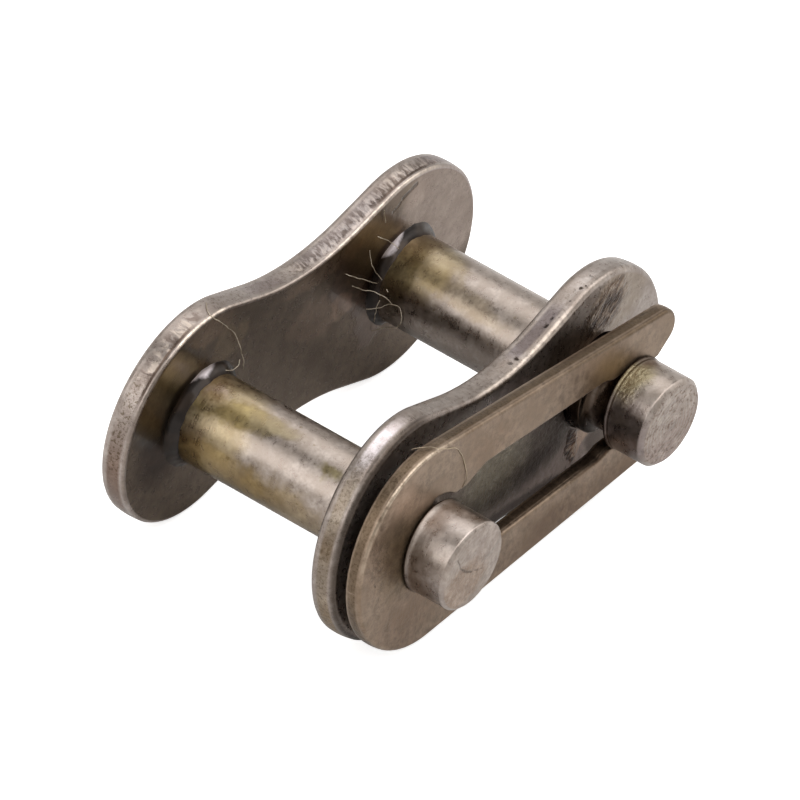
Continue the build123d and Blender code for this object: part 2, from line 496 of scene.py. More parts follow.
@dataclass(frozen=True)
class ShaderGroups:
    """The shared effects: grain, pits, hairlines, patches and single scratches."""

    grain: bpy.types.NodeTree
    pits: bpy.types.NodeTree
    hairlines: bpy.types.NodeTree
    patch: bpy.types.NodeTree
    scratch: bpy.types.NodeTree

    @classmethod
    def build(cls) -> "ShaderGroups":
        """Builds each group once."""
        return cls(cls._grain(), cls._pits(), cls._hairlines(), cls._patch(), cls._scratch())

    @staticmethod
    def _grain() -> bpy.types.NodeTree:
        """Fine, medium and broad mottling of tumbled steel."""
        graph, given, end = open_group(
            "Grain", "ShaderNodeTree",
            [("Vector", Kind.VECTOR, None), ("Fine", Kind.FLOAT, 14.0), ("Broad", Kind.FLOAT, 1.1)],
            [("Height", Kind.FLOAT), ("Tone", Kind.FLOAT), ("Broad", Kind.FLOAT)])
        fine = graph.noise(given["Vector"], given["Fine"], 3.0, 0.65)
        medium = graph.noise(given["Vector"], graph.times(given["Fine"], 0.3), 2.0, 0.5)
        broad = graph.noise(given["Vector"], given["Broad"], 3.0, 0.55, 0.4)
        height = graph.math("MULTIPLY_ADD", fine, 0.5, graph.times(medium, 0.5))
        shade = graph.math("MULTIPLY_ADD", fine, 0.4, graph.times(medium, 0.6))
        graph.feed(end.inputs["Height"], height)
        graph.feed(end.inputs["Tone"], graph.steps(shade, 0.3, 0.7))
        graph.feed(end.inputs["Broad"], graph.steps(broad, 0.32, 0.68))
        return graph.tree

    @staticmethod
    def _pits() -> bpy.types.NodeTree:
        """Small dark pits, scattered by cell."""
        graph, given, end = open_group(
            "Pits", "ShaderNodeTree",
            [("Vector", Kind.VECTOR, None), ("Scale", Kind.FLOAT, 4.0), ("Share", Kind.FLOAT, 0.3),
             ("Size", Kind.FLOAT, 0.3)],
            [("Mask", Kind.FLOAT)])
        bent = graph.vector("ADD", given["Vector"], graph.vector(
            "SCALE", graph.node("ShaderNodeTexNoise",
                                {"Vector": given["Vector"], "Scale": 9.0}).outputs["Color"],
            scale=0.12))
        cells = graph.node("ShaderNodeTexVoronoi", {"Vector": bent, "Scale": given["Scale"]})
        pick, size, _ = graph.separate(cells.outputs["Color"])
        reach = graph.times(given["Size"], graph.math("MULTIPLY_ADD", size, 0.7, 0.3))
        inside = graph.math("SUBTRACT", 1.0, graph.math("DIVIDE", cells.outputs["Distance"], reach),
                            clamp=True)
        chosen = graph.math("LESS_THAN", pick, given["Share"])
        graph.feed(end.inputs["Mask"], graph.times(graph.steps(inside, 0.0, 0.5), chosen))
        return graph.tree

    @staticmethod
    def _hairlines() -> bpy.types.NodeTree:
        """Thin scratches that run one way."""
        graph, given, end = open_group(
            "Hairlines", "ShaderNodeTree",
            [("Vector", Kind.VECTOR, None), ("Turn", Kind.FLOAT, 0.0), ("Scale", Kind.FLOAT, 6.0),
             ("Stretch", Kind.FLOAT, 0.06), ("Share", Kind.FLOAT, 0.5)],
            [("Mask", Kind.FLOAT)])
        x, y, z = graph.separate(graph.turned(given["Vector"], given["Turn"]))
        drawn = graph.combine(graph.times(x, given["Stretch"]), y, z)
        lines = graph.noise(drawn, given["Scale"], 2.0, 0.6, 0.3)
        thin = graph.steps(graph.math("ABSOLUTE", graph.math("SUBTRACT", lines, 0.5)), 0.0, 0.025,
                           1.0, 0.0)
        where = graph.noise(given["Vector"], 0.9, 2.0)
        there = graph.steps(where, graph.math("SUBTRACT", 0.75,
                                              graph.times(given["Share"], 0.5)), 0.75)
        graph.feed(end.inputs["Mask"], graph.times(thin, there))
        return graph.tree

    @staticmethod
    def _patch() -> bpy.types.NodeTree:
        """Oval patch with a ragged outline, in the plane across the pins."""
        graph, given, end = open_group(
            "Patch", "ShaderNodeTree",
            [("Vector", Kind.VECTOR, None), ("Centre", Kind.VECTOR, None),
             ("Half", Kind.VECTOR, None),
             ("Turn", Kind.FLOAT, 0.0), ("Ragged", Kind.FLOAT, 0.5), ("Soft", Kind.FLOAT, 0.04)],
            [("Mask", Kind.FLOAT), ("Rim", Kind.FLOAT)])
        wander = graph.node("ShaderNodeTexNoise",
                            {"Vector": given["Vector"], "Scale": 1.3, "Detail": 4.0,
                             "Roughness": 0.6}).outputs["Color"]
        shift = graph.vector("SCALE", graph.vector("SUBTRACT", wander, (0.5, 0.5, 0.5)),
                             scale=graph.times(given["Ragged"], 4.0))
        there = graph.vector("SUBTRACT", graph.vector("ADD", given["Vector"], shift),
                             given["Centre"])
        x, _, z = graph.separate(graph.vector("DIVIDE", graph.turned(there, given["Turn"]),
                                              given["Half"]))
        reach = graph.vector("LENGTH", graph.combine(x, 0.0, z))
        edge = graph.math("SUBTRACT", 1.0, reach)
        graph.feed(end.inputs["Mask"],
                   graph.steps(edge, graph.times(given["Soft"], -1.0), given["Soft"]))
        graph.feed(end.inputs["Rim"], graph.steps(graph.math("ABSOLUTE", edge), 0.0,
                                                  graph.times(given["Soft"], 1.6), 1.0, 0.0))
        return graph.tree

    @staticmethod
    def _scratch() -> bpy.types.NodeTree:
        """One scratch between two points, a little uneven."""
        graph, given, end = open_group(
            "Scratch", "ShaderNodeTree",
            [("Vector", Kind.VECTOR, None), ("Start", Kind.VECTOR, None),
             ("End", Kind.VECTOR, None), ("Width", Kind.FLOAT, 0.05)],
            [("Mask", Kind.FLOAT)])
        wander = graph.node("ShaderNodeTexNoise",
                            {"Vector": given["Vector"], "Scale": 3.0}).outputs["Color"]
        place = graph.vector("ADD", given["Vector"], graph.vector(
            "SCALE", graph.vector("SUBTRACT", wander, (0.5, 0.5, 0.5)), scale=0.16))
        run = graph.vector("SUBTRACT", given["End"], given["Start"])
        reach = graph.vector("SUBTRACT", place, given["Start"])
        share = graph.math("DIVIDE", graph.vector("DOT_PRODUCT", reach, run),
                           graph.vector("DOT_PRODUCT", run, run), clamp=True)
        off = graph.vector("LENGTH",
                           graph.vector("SUBTRACT", reach, graph.vector("SCALE", run, scale=share)))
        graph.feed(end.inputs["Mask"],
                   graph.steps(off, graph.times(given["Width"], 0.4), given["Width"], 1.0, 0.0))
        return graph.tree


# Finishes

@dataclass(frozen=True)
class Patch:
    """Ragged oval patch in a plane: its centre and half sizes, in millimetres."""

    x: float
    z: float
    half_x: float
    half_z: float
    turn: float = 0.0
    ragged: float = 0.3
    soft: float = 0.4

    def masks(self, graph: Graph, groups: ShaderGroups, place: Socket) -> bpy.types.Node:
        """The patch's group, whose outputs are Mask and Rim."""
        return graph.group(groups.patch, Vector=place, Centre=(self.x, 0.0, self.z),
                           Half=(self.half_x, 1.0, self.half_z), Turn=math.radians(self.turn),
                           Ragged=self.ragged, Soft=self.soft)


# Colours of small marks: filters of the steel's own colour, but for the bright crest of a scuff
EDGE_LINE = (0.35, 0.3, 0.22)
STRIPES = (0.5, 0.46, 0.43)
BURNISH = (0.5, 0.45, 0.42)
SPECKLE = (0.45, 0.42, 0.34)
CREASE = (0.25, 0.2, 0.17)
PIT = (0.18, 0.15, 0.13)
SCUFFED = (0.56, 0.45, 0.36)
SCUFF_HOLLOW = (0.4, 0.34, 0.28)
SCUFF_CREST = tone(206, 190, 172)
# painted shade for the bands along a pin's shank
PAINTED_BAND_SHADE = (0.3, 0.26, 0.22)
FLECKS = (0.5, 0.45, 0.3)
END_CRUMBS = (0.55, 0.48, 0.44)


@dataclass(frozen=True)
class Layer:
    """Something that lies on the steel, or a patch of painted light and shade: where it is and how
    it filters the steel's colour.

    The filter's values multiply the colour, so 1 leaves it as it is. Relief is uneven height inside
    the layer, and the edge line darkens its outline.
    """

    where: Patch
    colour_filter: Colour
    opacity: float = 1.0
    roughness: float | None = None
    height: float = 0.0
    relief: float = 0.0
    edge_line: float = 0.0
    wet: float = 0.0


@dataclass(frozen=True)
class Span:
    """Stretch of an outline, between two runs along it in millimetres, and its strength."""

    start: float
    end: float
    strength: float = 1.0
    soft: float = 0.5

    def mask(self, graph: Graph, run: Socket) -> Socket:
        """Where the stretch is."""
        rise = graph.steps(run, self.start - self.soft, self.start + self.soft)
        return graph.times(rise, graph.steps(run, self.end - self.soft, self.end + self.soft,
                                             self.strength, 0.0))


class Zone(Enum):
    """Parts of a blanked edge, by the mesh's mask."""

    WALL = "wall"
    LIP = "lip"


@dataclass(frozen=True)
class Shade:
    """Darker or lighter stretch of an edge; some are painted shade and painted highlight."""

    span: Span
    colour_filter: Colour
    zone: Zone = Zone.WALL


@dataclass(frozen=True)
class Nick:
    """Straight scratch or nick between two points, with its width, in millimetres."""

    start: Place
    end: Place
    width: float = 0.05
    depth: float = 0.02
    shade: float = 0.4

    def mask(self, graph: Graph, groups: ShaderGroups, place: Socket) -> Socket:
        """Where the scratch is."""
        return graph.group(groups.scratch, Vector=place, Start=self.start, End=self.end,
                           Width=self.width).outputs["Mask"]


def union(graph: Graph, masks: Sequence[Socket]) -> Socket:
    """The largest of some masks."""
    whole = masks[0]
    for mask in masks[1:]:
        whole = graph.math("MAXIMUM", whole, mask)
    return whole


def along(graph: Graph, run: Socket, spans: Sequence[Span], within: Socket) -> Socket:
    """Where some stretches of an outline are, inside another mask."""
    return graph.times(union(graph, [span.mask(graph, run) for span in spans]), within)


@dataclass
class Surface:
    """State of a finish while its layers are laid; its height is in millimetres."""

    graph: Graph
    groups: ShaderGroups
    place: Socket
    colour: Socket
    roughness: Socket
    height: Socket
    wet: Socket | None = None

    def tint(self, mask: object, colour: Colour, blend: str = "MIX") -> None:
        """Lays a colour over the surface where the mask is."""
        self.colour = self.graph.mix(mask, self.colour, colour, blend)

    def filter(self, mask: object, colour: Colour) -> None:
        """Multiplies the colour where the mask is."""
        self.tint(mask, colour, "MULTIPLY")

    def smooth(self, mask: Socket, roughness: float) -> None:
        """Brings the roughness to a value where the mask is."""
        step = self.graph.math("SUBTRACT", roughness, self.roughness)
        self.roughness = self.graph.math("MULTIPLY_ADD", step, mask, self.roughness)

    def raise_by(self, mask: Socket, height: object) -> None:
        """Adds height where the mask is; a negative one cuts in."""
        self.height = self.graph.math("MULTIPLY_ADD", mask, height, self.height)

    def scratch(self, nick: Nick, within: object = 1.0) -> None:
        """Cuts a dark scratch."""
        mask = self.graph.times(nick.mask(self.graph, self.groups, self.place), within)
        self.filter(mask, (nick.shade,) * 3)
        self.raise_by(mask, -nick.depth)

    def cover(self, layer: Layer, plane: Socket, within: Socket) -> None:
        """Lays a layer.

        Args:
            layer: what to lay.
            plane: millimetres in the plane that the layer's patch is drawn in.
            within: mask that the layer stays inside.
        """
        graph = self.graph
        masks = layer.where.masks(graph, self.groups, plane)
        mask = graph.times(masks.outputs["Mask"], within)
        self.filter(graph.times(mask, layer.opacity), layer.colour_filter)
        if layer.edge_line:
            line = graph.times(masks.outputs["Rim"], within)
            self.filter(graph.times(line, layer.edge_line), EDGE_LINE)
        if layer.roughness is not None:
            self.smooth(mask, layer.roughness)
        if layer.height:
            self.raise_by(mask, layer.height)
        if layer.relief:
            self.raise_by(graph.times(mask, graph.noise(plane, 5.0, 3.0, 0.6, 0.5)), layer.relief)
        if layer.wet:
            wet = graph.times(mask, layer.wet)
            self.wet = wet if self.wet is None else graph.math("MAXIMUM", self.wet, wet)


@dataclass(frozen=True)
class Steel:
    """Base finish of the steel pieces: two tones, grain, hairlines and broad oily mottling."""

    name: str
    light: Colour
    dark: Colour
    mottle: Colour
    roughness: float = 0.32
    metallic: float = 1.0
    fine: float = 14.0
    broad: float = 0.9
    mottle_share: float = 0.75
    uneven_roughness: float = 0.14
    grain_height: float = 0.006
    hairlines: float = 0.35
    hairline_turn: float = 20.0
    hairline_shine: float = 0.3
    hairline_depth: float = 0.0025
    film_roughness: float = 0.06
    nicks: tuple[Nick, ...] = ()

    def lay(self, graph: Graph, groups: ShaderGroups) -> Surface:
        """Lays the base finish.

        Args:
            graph: the material's node tree.
            groups: the shared shader groups.

        Returns:
            The surface, ready for the layers of its piece.
        """
        place = graph.place()
        grain = graph.group(groups.grain, Vector=place, Fine=self.fine, Broad=self.broad)
        colour = graph.mix(grain.outputs["Tone"], self.dark, self.light)
        mottled = graph.times(grain.outputs["Broad"], self.mottle_share)
        colour = graph.mix(mottled, colour, self.mottle)
        rough = graph.math("MULTIPLY_ADD", grain.outputs["Tone"], self.uneven_roughness,
                           self.roughness - self.uneven_roughness / 2)
        height = graph.times(grain.outputs["Height"], self.grain_height)
        surface = Surface(graph, groups, place, colour, rough, height)
        lines = graph.group(groups.hairlines, Vector=place, Turn=math.radians(self.hairline_turn),
                            Share=self.hairlines).outputs["Mask"]
        surface.tint(graph.times(lines, self.hairline_shine), self.light)
        surface.raise_by(lines, -self.hairline_depth)
        return surface

    def dress(self, surface: Surface) -> None:
        """Adds the layers of one piece."""

    def material(self, groups: ShaderGroups) -> bpy.types.Material:
        """Builds the material.

        Args:
            groups: the shared shader groups.

        Returns:
            The material.
        """
        material = bpy.data.materials.new(self.name)
        graph = open_shader(material)
        surface = self.lay(graph, groups)
        self.dress(surface)
        for nick in self.nicks:
            surface.scratch(nick)
        bump = graph.node("ShaderNodeBump",
                          {"Height": surface.height, "Distance": MM, "Strength": 1.0})
        metal = graph.node("ShaderNodeBsdfPrincipled", {
            "Base Color": surface.colour, "Metallic": self.metallic, "Roughness": surface.roughness,
            "Normal": bump.outputs["Normal"], "Coat Roughness": self.film_roughness})
        if surface.wet is not None:
            graph.feed(metal.inputs["Coat Weight"], surface.wet)
        graph.end(metal)
        return material


@dataclass(frozen=True)
class Edge:
    """What a blanked piece's mesh tells its material."""

    run: Socket
    across: Socket
    wall: Socket
    lip: Socket
    face: Socket

    @classmethod
    def read(cls, graph: Graph) -> "Edge":
        """Reads the UV map along the edge and the masks of wall, lip and front face."""
        run, across, _ = graph.separate(graph.node("ShaderNodeUVMap", uv_map="edge").outputs["UV"])
        wall, lip, face = (graph.node("ShaderNodeAttribute", attribute_name=name).outputs["Fac"]
                           for name in ("wall", "lip", "face"))
        return cls(run, across, wall, lip, face)


@dataclass(frozen=True)
class BlankedSteel(Steel):
    """Blanked sheet steel: the tool's work on its edge, oil and dirt, painted light and shade."""

    stripes: tuple[Span, ...] = ()
    burnish: tuple[Span, ...] = ()
    speckle: tuple[Span, ...] = ()
    bright_lip: tuple[Span, ...] = ()
    crease: tuple[Span, ...] = ()
    lip_pits: tuple[Span, ...] = ()
    shades: tuple[Shade, ...] = ()
    lip_colour: Colour = tone(236, 220, 204)
    layers: tuple[Layer, ...] = ()
    scuffs: tuple[Patch, ...] = ()

    def dress(self, surface: Surface) -> None:
        """Adds the edge's marks, the layers on the face, and the scuffs."""
        edge = Edge.read(surface.graph)
        self._dress_wall(surface, edge)
        self._dress_lip(surface, edge)
        for shade in self.shades:
            zone = edge.wall if shade.zone is Zone.WALL else edge.lip
            surface.filter(along(surface.graph, edge.run, (shade.span,), zone), shade.colour_filter)
        for layer in self.layers:
            surface.cover(layer, surface.place, edge.face)
        for scuff in self.scuffs:
            self._dress_scuff(surface, scuff, edge.face)

    def _streak(self, surface: Surface, marks: Socket, where: Socket, levels: Place, hollow: Colour,
                shine: float, height: float) -> None:
        """Dark hollows and bright crests of a streaky wall.

        Args:
            surface: the surface to mark.
            marks: noise whose low values are hollows and whose high ones are crests.
            where: mask that the streaks stay inside.
            levels: the noise where hollows are full, where they end, and where crests are full.
            hollow: colour filter of the hollows.
            shine: strength of the crests.
            height: height of the crests, in millimetres.
        """
        graph = surface.graph
        low, middle, high = levels
        surface.filter(graph.times(graph.steps(marks, low, middle, 1.0, 0.0), where), hollow)
        crest = graph.steps(marks, middle, high)
        surface.tint(graph.times(crest, graph.times(where, shine)), self.lip_colour)
        surface.raise_by(graph.times(where, marks), height)

    def _dress_wall(self, surface: Surface, edge: Edge) -> None:
        """Fine stripes, broader streaks and speckle that blanking and tumbling left on the wall."""
        graph = surface.graph
        if self.stripes:
            slanted = graph.math("MULTIPLY_ADD", edge.across, 0.25, edge.run)
            marks = graph.noise(graph.combine(slanted, graph.times(edge.across, 0.35)),
                                5.6, 2.0, 0.55, 0.3)
            fade = graph.steps(edge.across, 0.35, 1.1, 1.0, 0.15)
            where = graph.times(along(graph, edge.run, self.stripes, edge.wall), fade)
            self._streak(surface, marks, where, (0.42, 0.52, 0.62), STRIPES, 0.32, 0.05)
        if self.burnish:
            marks = graph.noise(graph.combine(edge.run, graph.times(edge.across, 0.5)),
                                2.6, 3.0, 0.6, 0.5)
            fade = graph.steps(edge.across, 0.5, 1.0, 1.0, 0.0)
            where = graph.times(along(graph, edge.run, self.burnish, edge.wall), fade)
            self._streak(surface, marks, where, (0.38, 0.5, 0.62), BURNISH, 0.5, 0.04)
        if self.speckle:
            dots = graph.noise(graph.combine(edge.run, edge.across), 7.0, 3.0, 0.7)
            where = along(graph, edge.run, self.speckle, edge.wall)
            surface.filter(graph.times(graph.steps(dots, 0.4, 0.5, 1.0, 0.0), where), SPECKLE)
            surface.raise_by(graph.times(where, dots), 0.03)

    def _dress_lip(self, surface: Surface, edge: Edge) -> None:
        """Bright lip beside the face, part wear, part painted highlight; its crease and pits."""
        graph = surface.graph
        ripple = graph.noise(graph.combine(edge.run, graph.times(edge.across, 0.5)), 4.0, 2.0)
        surface.raise_by(graph.times(edge.lip, ripple), 0.03)
        # the lip's tint: worn steel with a painted highlight on the stretches where light falls
        if self.bright_lip:
            worn = graph.steps(graph.noise(graph.combine(edge.run, edge.across), 2.4, 4.0, 0.65),
                               0.34, 0.58, 0.15, 1.0)
            bright = graph.times(along(graph, edge.run, self.bright_lip,
                                       graph.steps(edge.lip, 0.3, 0.9)),
                                 worn)
            surface.tint(bright, self.lip_colour)
            surface.smooth(bright, 0.3)
        if self.crease:
            width = graph.math("MULTIPLY_ADD", ripple, 0.08, 0.2)
            band = graph.times(graph.steps(edge.across, 0.14, 0.18),
                               graph.steps(edge.across, width, graph.math("ADD", width, 0.07), 1.0,
                                           0.0))
            surface.filter(along(graph, edge.run, self.crease, band), CREASE)
        if self.lip_pits:
            band = graph.times(graph.steps(edge.across, 0.22, 0.3),
                               graph.steps(edge.across, 0.42, 0.56, 1.0, 0.0))
            holes = graph.group(surface.groups.pits, Vector=graph.combine(edge.run, edge.across),
                                Scale=3.6, Share=0.55, Size=0.6).outputs["Mask"]
            holes = graph.times(holes, along(graph, edge.run, self.lip_pits, band))
            surface.filter(holes, PIT)
            surface.raise_by(holes, -0.06)

    @staticmethod
    def _dress_scuff(surface: Surface, scuff: Patch, within: Socket) -> None:
        """Rough gouged patch with dark hollows and bright crests."""
        graph = surface.graph
        mask = graph.times(scuff.masks(graph, surface.groups, surface.place).outputs["Mask"],
                           within)
        x, y, z = graph.separate(graph.turned(surface.place, math.radians(scuff.turn)))
        drawn = graph.combine(graph.times(x, 0.4), y, z)
        gouges = graph.noise(drawn, 3.4, 3.0, 0.65, 0.25)
        hollow = graph.times(graph.steps(gouges, 0.42, 0.52, 1.0, 0.0), mask)
        crest = graph.times(graph.steps(gouges, 0.52, 0.6), mask)
        surface.filter(mask, SCUFFED)
        surface.filter(hollow, SCUFF_HOLLOW)
        surface.tint(graph.times(crest, 0.3), SCUFF_CREST)
        surface.raise_by(graph.times(gouges, mask), 0.12)


@dataclass(frozen=True)
class PinSteel(Steel):
    """Ground and turned pin: rings on its end face, ground shank, and on its side oil staining,
    painted highlights and painted shade, and bands of painted shade in the groove, between
    cover and clip and by the shoulder's rim.

    The side's layers are drawn on the unrolled side: X is the way round from the middle of
    the side that faces up and to the left, and Z is the way along the pin, both in millimetres.
    """

    axis_x: float = 0.0
    axis_z: float = 0.0
    radius: float = 1.0
    end_y: float = 0.0
    facing: float = 138.0
    rings: float = 0.5
    end_layers: tuple[Layer, ...] = ()
    stains_and_shading: tuple[Layer, ...] = ()
    dark_bands: tuple[tuple[float, float], ...] = ()
    slant: float = 0.0

    def dress(self, surface: Surface) -> None:
        """Adds end-face rings and layers, grinding, staining, painted light and shade, flecks."""
        graph = surface.graph
        x, y, z = graph.separate(surface.place)
        right, up = graph.math("SUBTRACT", x, self.axis_x), graph.math("SUBTRACT", z, self.axis_z)
        spread = graph.vector("LENGTH", graph.combine(right, 0.0, up))
        on_end = graph.math("LESS_THAN", y, self.end_y + 0.02)
        on_side = graph.math("SUBTRACT", 1.0, on_end)
        self._dress_end(surface, graph, spread, right, up, on_end)

        ground = graph.noise(graph.combine(graph.times(x, 0.5), graph.times(y, 9.0),
                                           graph.times(z, 0.5)), 1.5, 2.0, 0.6)
        surface.raise_by(graph.times(ground, on_side), 0.005)
        cosine, sine = math.cos(math.radians(self.facing)), math.sin(math.radians(self.facing))
        ahead = graph.math("MULTIPLY_ADD", right, cosine, graph.times(up, sine))
        aside = graph.math("SUBTRACT", graph.times(up, cosine), graph.times(right, sine))
        round_way = graph.times(graph.math("ARCTAN2", aside, ahead), self.radius)
        unrolled = graph.combine(round_way, 0.0, y)
        for side_layer in self.stains_and_shading:
            surface.cover(side_layer, unrolled, on_side)
        # painted shade: darker bands in the clip's groove, between cover and clip and by the
        # shoulder's rim
        for middle, half in self.dark_bands:
            level = graph.math("MULTIPLY_ADD", up, -self.slant, y)
            off = graph.math("ABSOLUTE", graph.math("SUBTRACT", level, middle))
            surface.filter(graph.steps(off, 0.6 * half, half, 1.0, 0.0), PAINTED_BAND_SHADE)
        flecks = graph.group(surface.groups.pits, Vector=surface.place, Scale=2.2, Share=0.3,
                             Size=0.22).outputs["Mask"]
        surface.filter(graph.times(graph.times(flecks, on_side), 0.5), FLECKS)

    def _dress_end(self, surface: Surface, graph: Graph, spread: Socket, right: Socket, up: Socket,
                   on_end: Socket) -> None:
        """Turning rings with a nub in their middle, mottling and layers on the end face."""
        uneven = graph.noise(graph.combine(right, 0.0, up), 1.6, 2.0)
        phase = graph.math("MULTIPLY_ADD", spread, 30.0, graph.times(uneven, 9.0))
        rings = graph.times(graph.math("SINE", phase), graph.noise(surface.place, 2.2, 2.0))
        surface.raise_by(graph.times(rings, on_end), 0.022 * self.rings)
        nub = graph.times(graph.steps(spread, 0.12, 0.3, 1.0, 0.0), on_end)
        surface.raise_by(nub, 0.08 * self.rings)
        crumbs = graph.noise(surface.place, 5.5, 3.0, 0.65)
        dark = graph.times(graph.steps(crumbs, 0.36, 0.47, 1.0, 0.0), on_end)
        surface.filter(graph.times(dark, 0.9 * self.rings), END_CRUMBS)
        surface.raise_by(graph.times(crumbs, on_end), 0.03 * self.rings)
        surface.smooth(on_end, 0.42)
        for layer in self.end_layers:
            surface.cover(layer, surface.place, on_end)


@dataclass(frozen=True)
class OilFinish:
    """Dark, dirty oil that stands round a pin's root, with a painted highlight as its sheen."""

    name: str
    sheen_at: Patch
    thin: Colour = tone(52, 41, 33)
    thick: Colour = tone(30, 23, 19)
    crumbs: Colour = tone(150, 136, 110)
    sheen: Colour = tone(214, 204, 206)
    metallic: float = 0.75
    roughness: float = 0.32
    film: float = 0.2
    film_roughness: float = 0.2

    def material(self, groups: ShaderGroups) -> bpy.types.Material:
        """Builds the material: glossy and uneven in shade."""
        material = bpy.data.materials.new(self.name)
        graph = open_shader(material)
        place = graph.place()
        cloud = graph.steps(graph.noise(place, 0.9, 2.0, 0.5), 0.35, 0.65)
        specks = graph.group(groups.pits, Vector=place, Scale=7.0, Share=0.05,
                             Size=0.2).outputs["Mask"]
        colour = graph.mix(cloud, self.thick, self.thin)
        colour = graph.mix(graph.times(specks, 0.3), colour, self.crumbs)
        # painted highlight: the sheen's lighter colour inside its patch
        colour = graph.mix(self.sheen_at.masks(graph, groups, place).outputs["Mask"], colour,
                           self.sheen)
        bump = graph.node("ShaderNodeBump",
                          {"Height": graph.times(graph.noise(place, 0.9, 1.0), 0.05),
                           "Distance": MM})
        oil = graph.node("ShaderNodeBsdfPrincipled", {
            "Base Color": colour, "Metallic": self.metallic, "Roughness": self.roughness,
            "Normal": bump.outputs["Normal"], "Coat Weight": self.film,
            "Coat Roughness": self.film_roughness})
        graph.end(oil)
        return material


@dataclass(frozen=True)
class LintFinish:
    """Pale textile fibre."""

    name: str
    colour: Colour
    shaded: Colour
    roughness: float = 0.55

    def material(self, groups: ShaderGroups) -> bpy.types.Material:
        """Builds the material, with slow changes of shade along the fibre."""
        material = bpy.data.materials.new(self.name)
        graph = open_shader(material)
        place = graph.place()
        shade = graph.steps(graph.noise(place, 1.8, 2.0), 0.35, 0.65)
        colour = graph.mix(shade, self.shaded, self.colour)
        fibre = graph.node("ShaderNodeBsdfPrincipled",
                           {"Base Color": colour, "Roughness": self.roughness})
        graph.end(fibre)
        return material


# Geometry Nodes

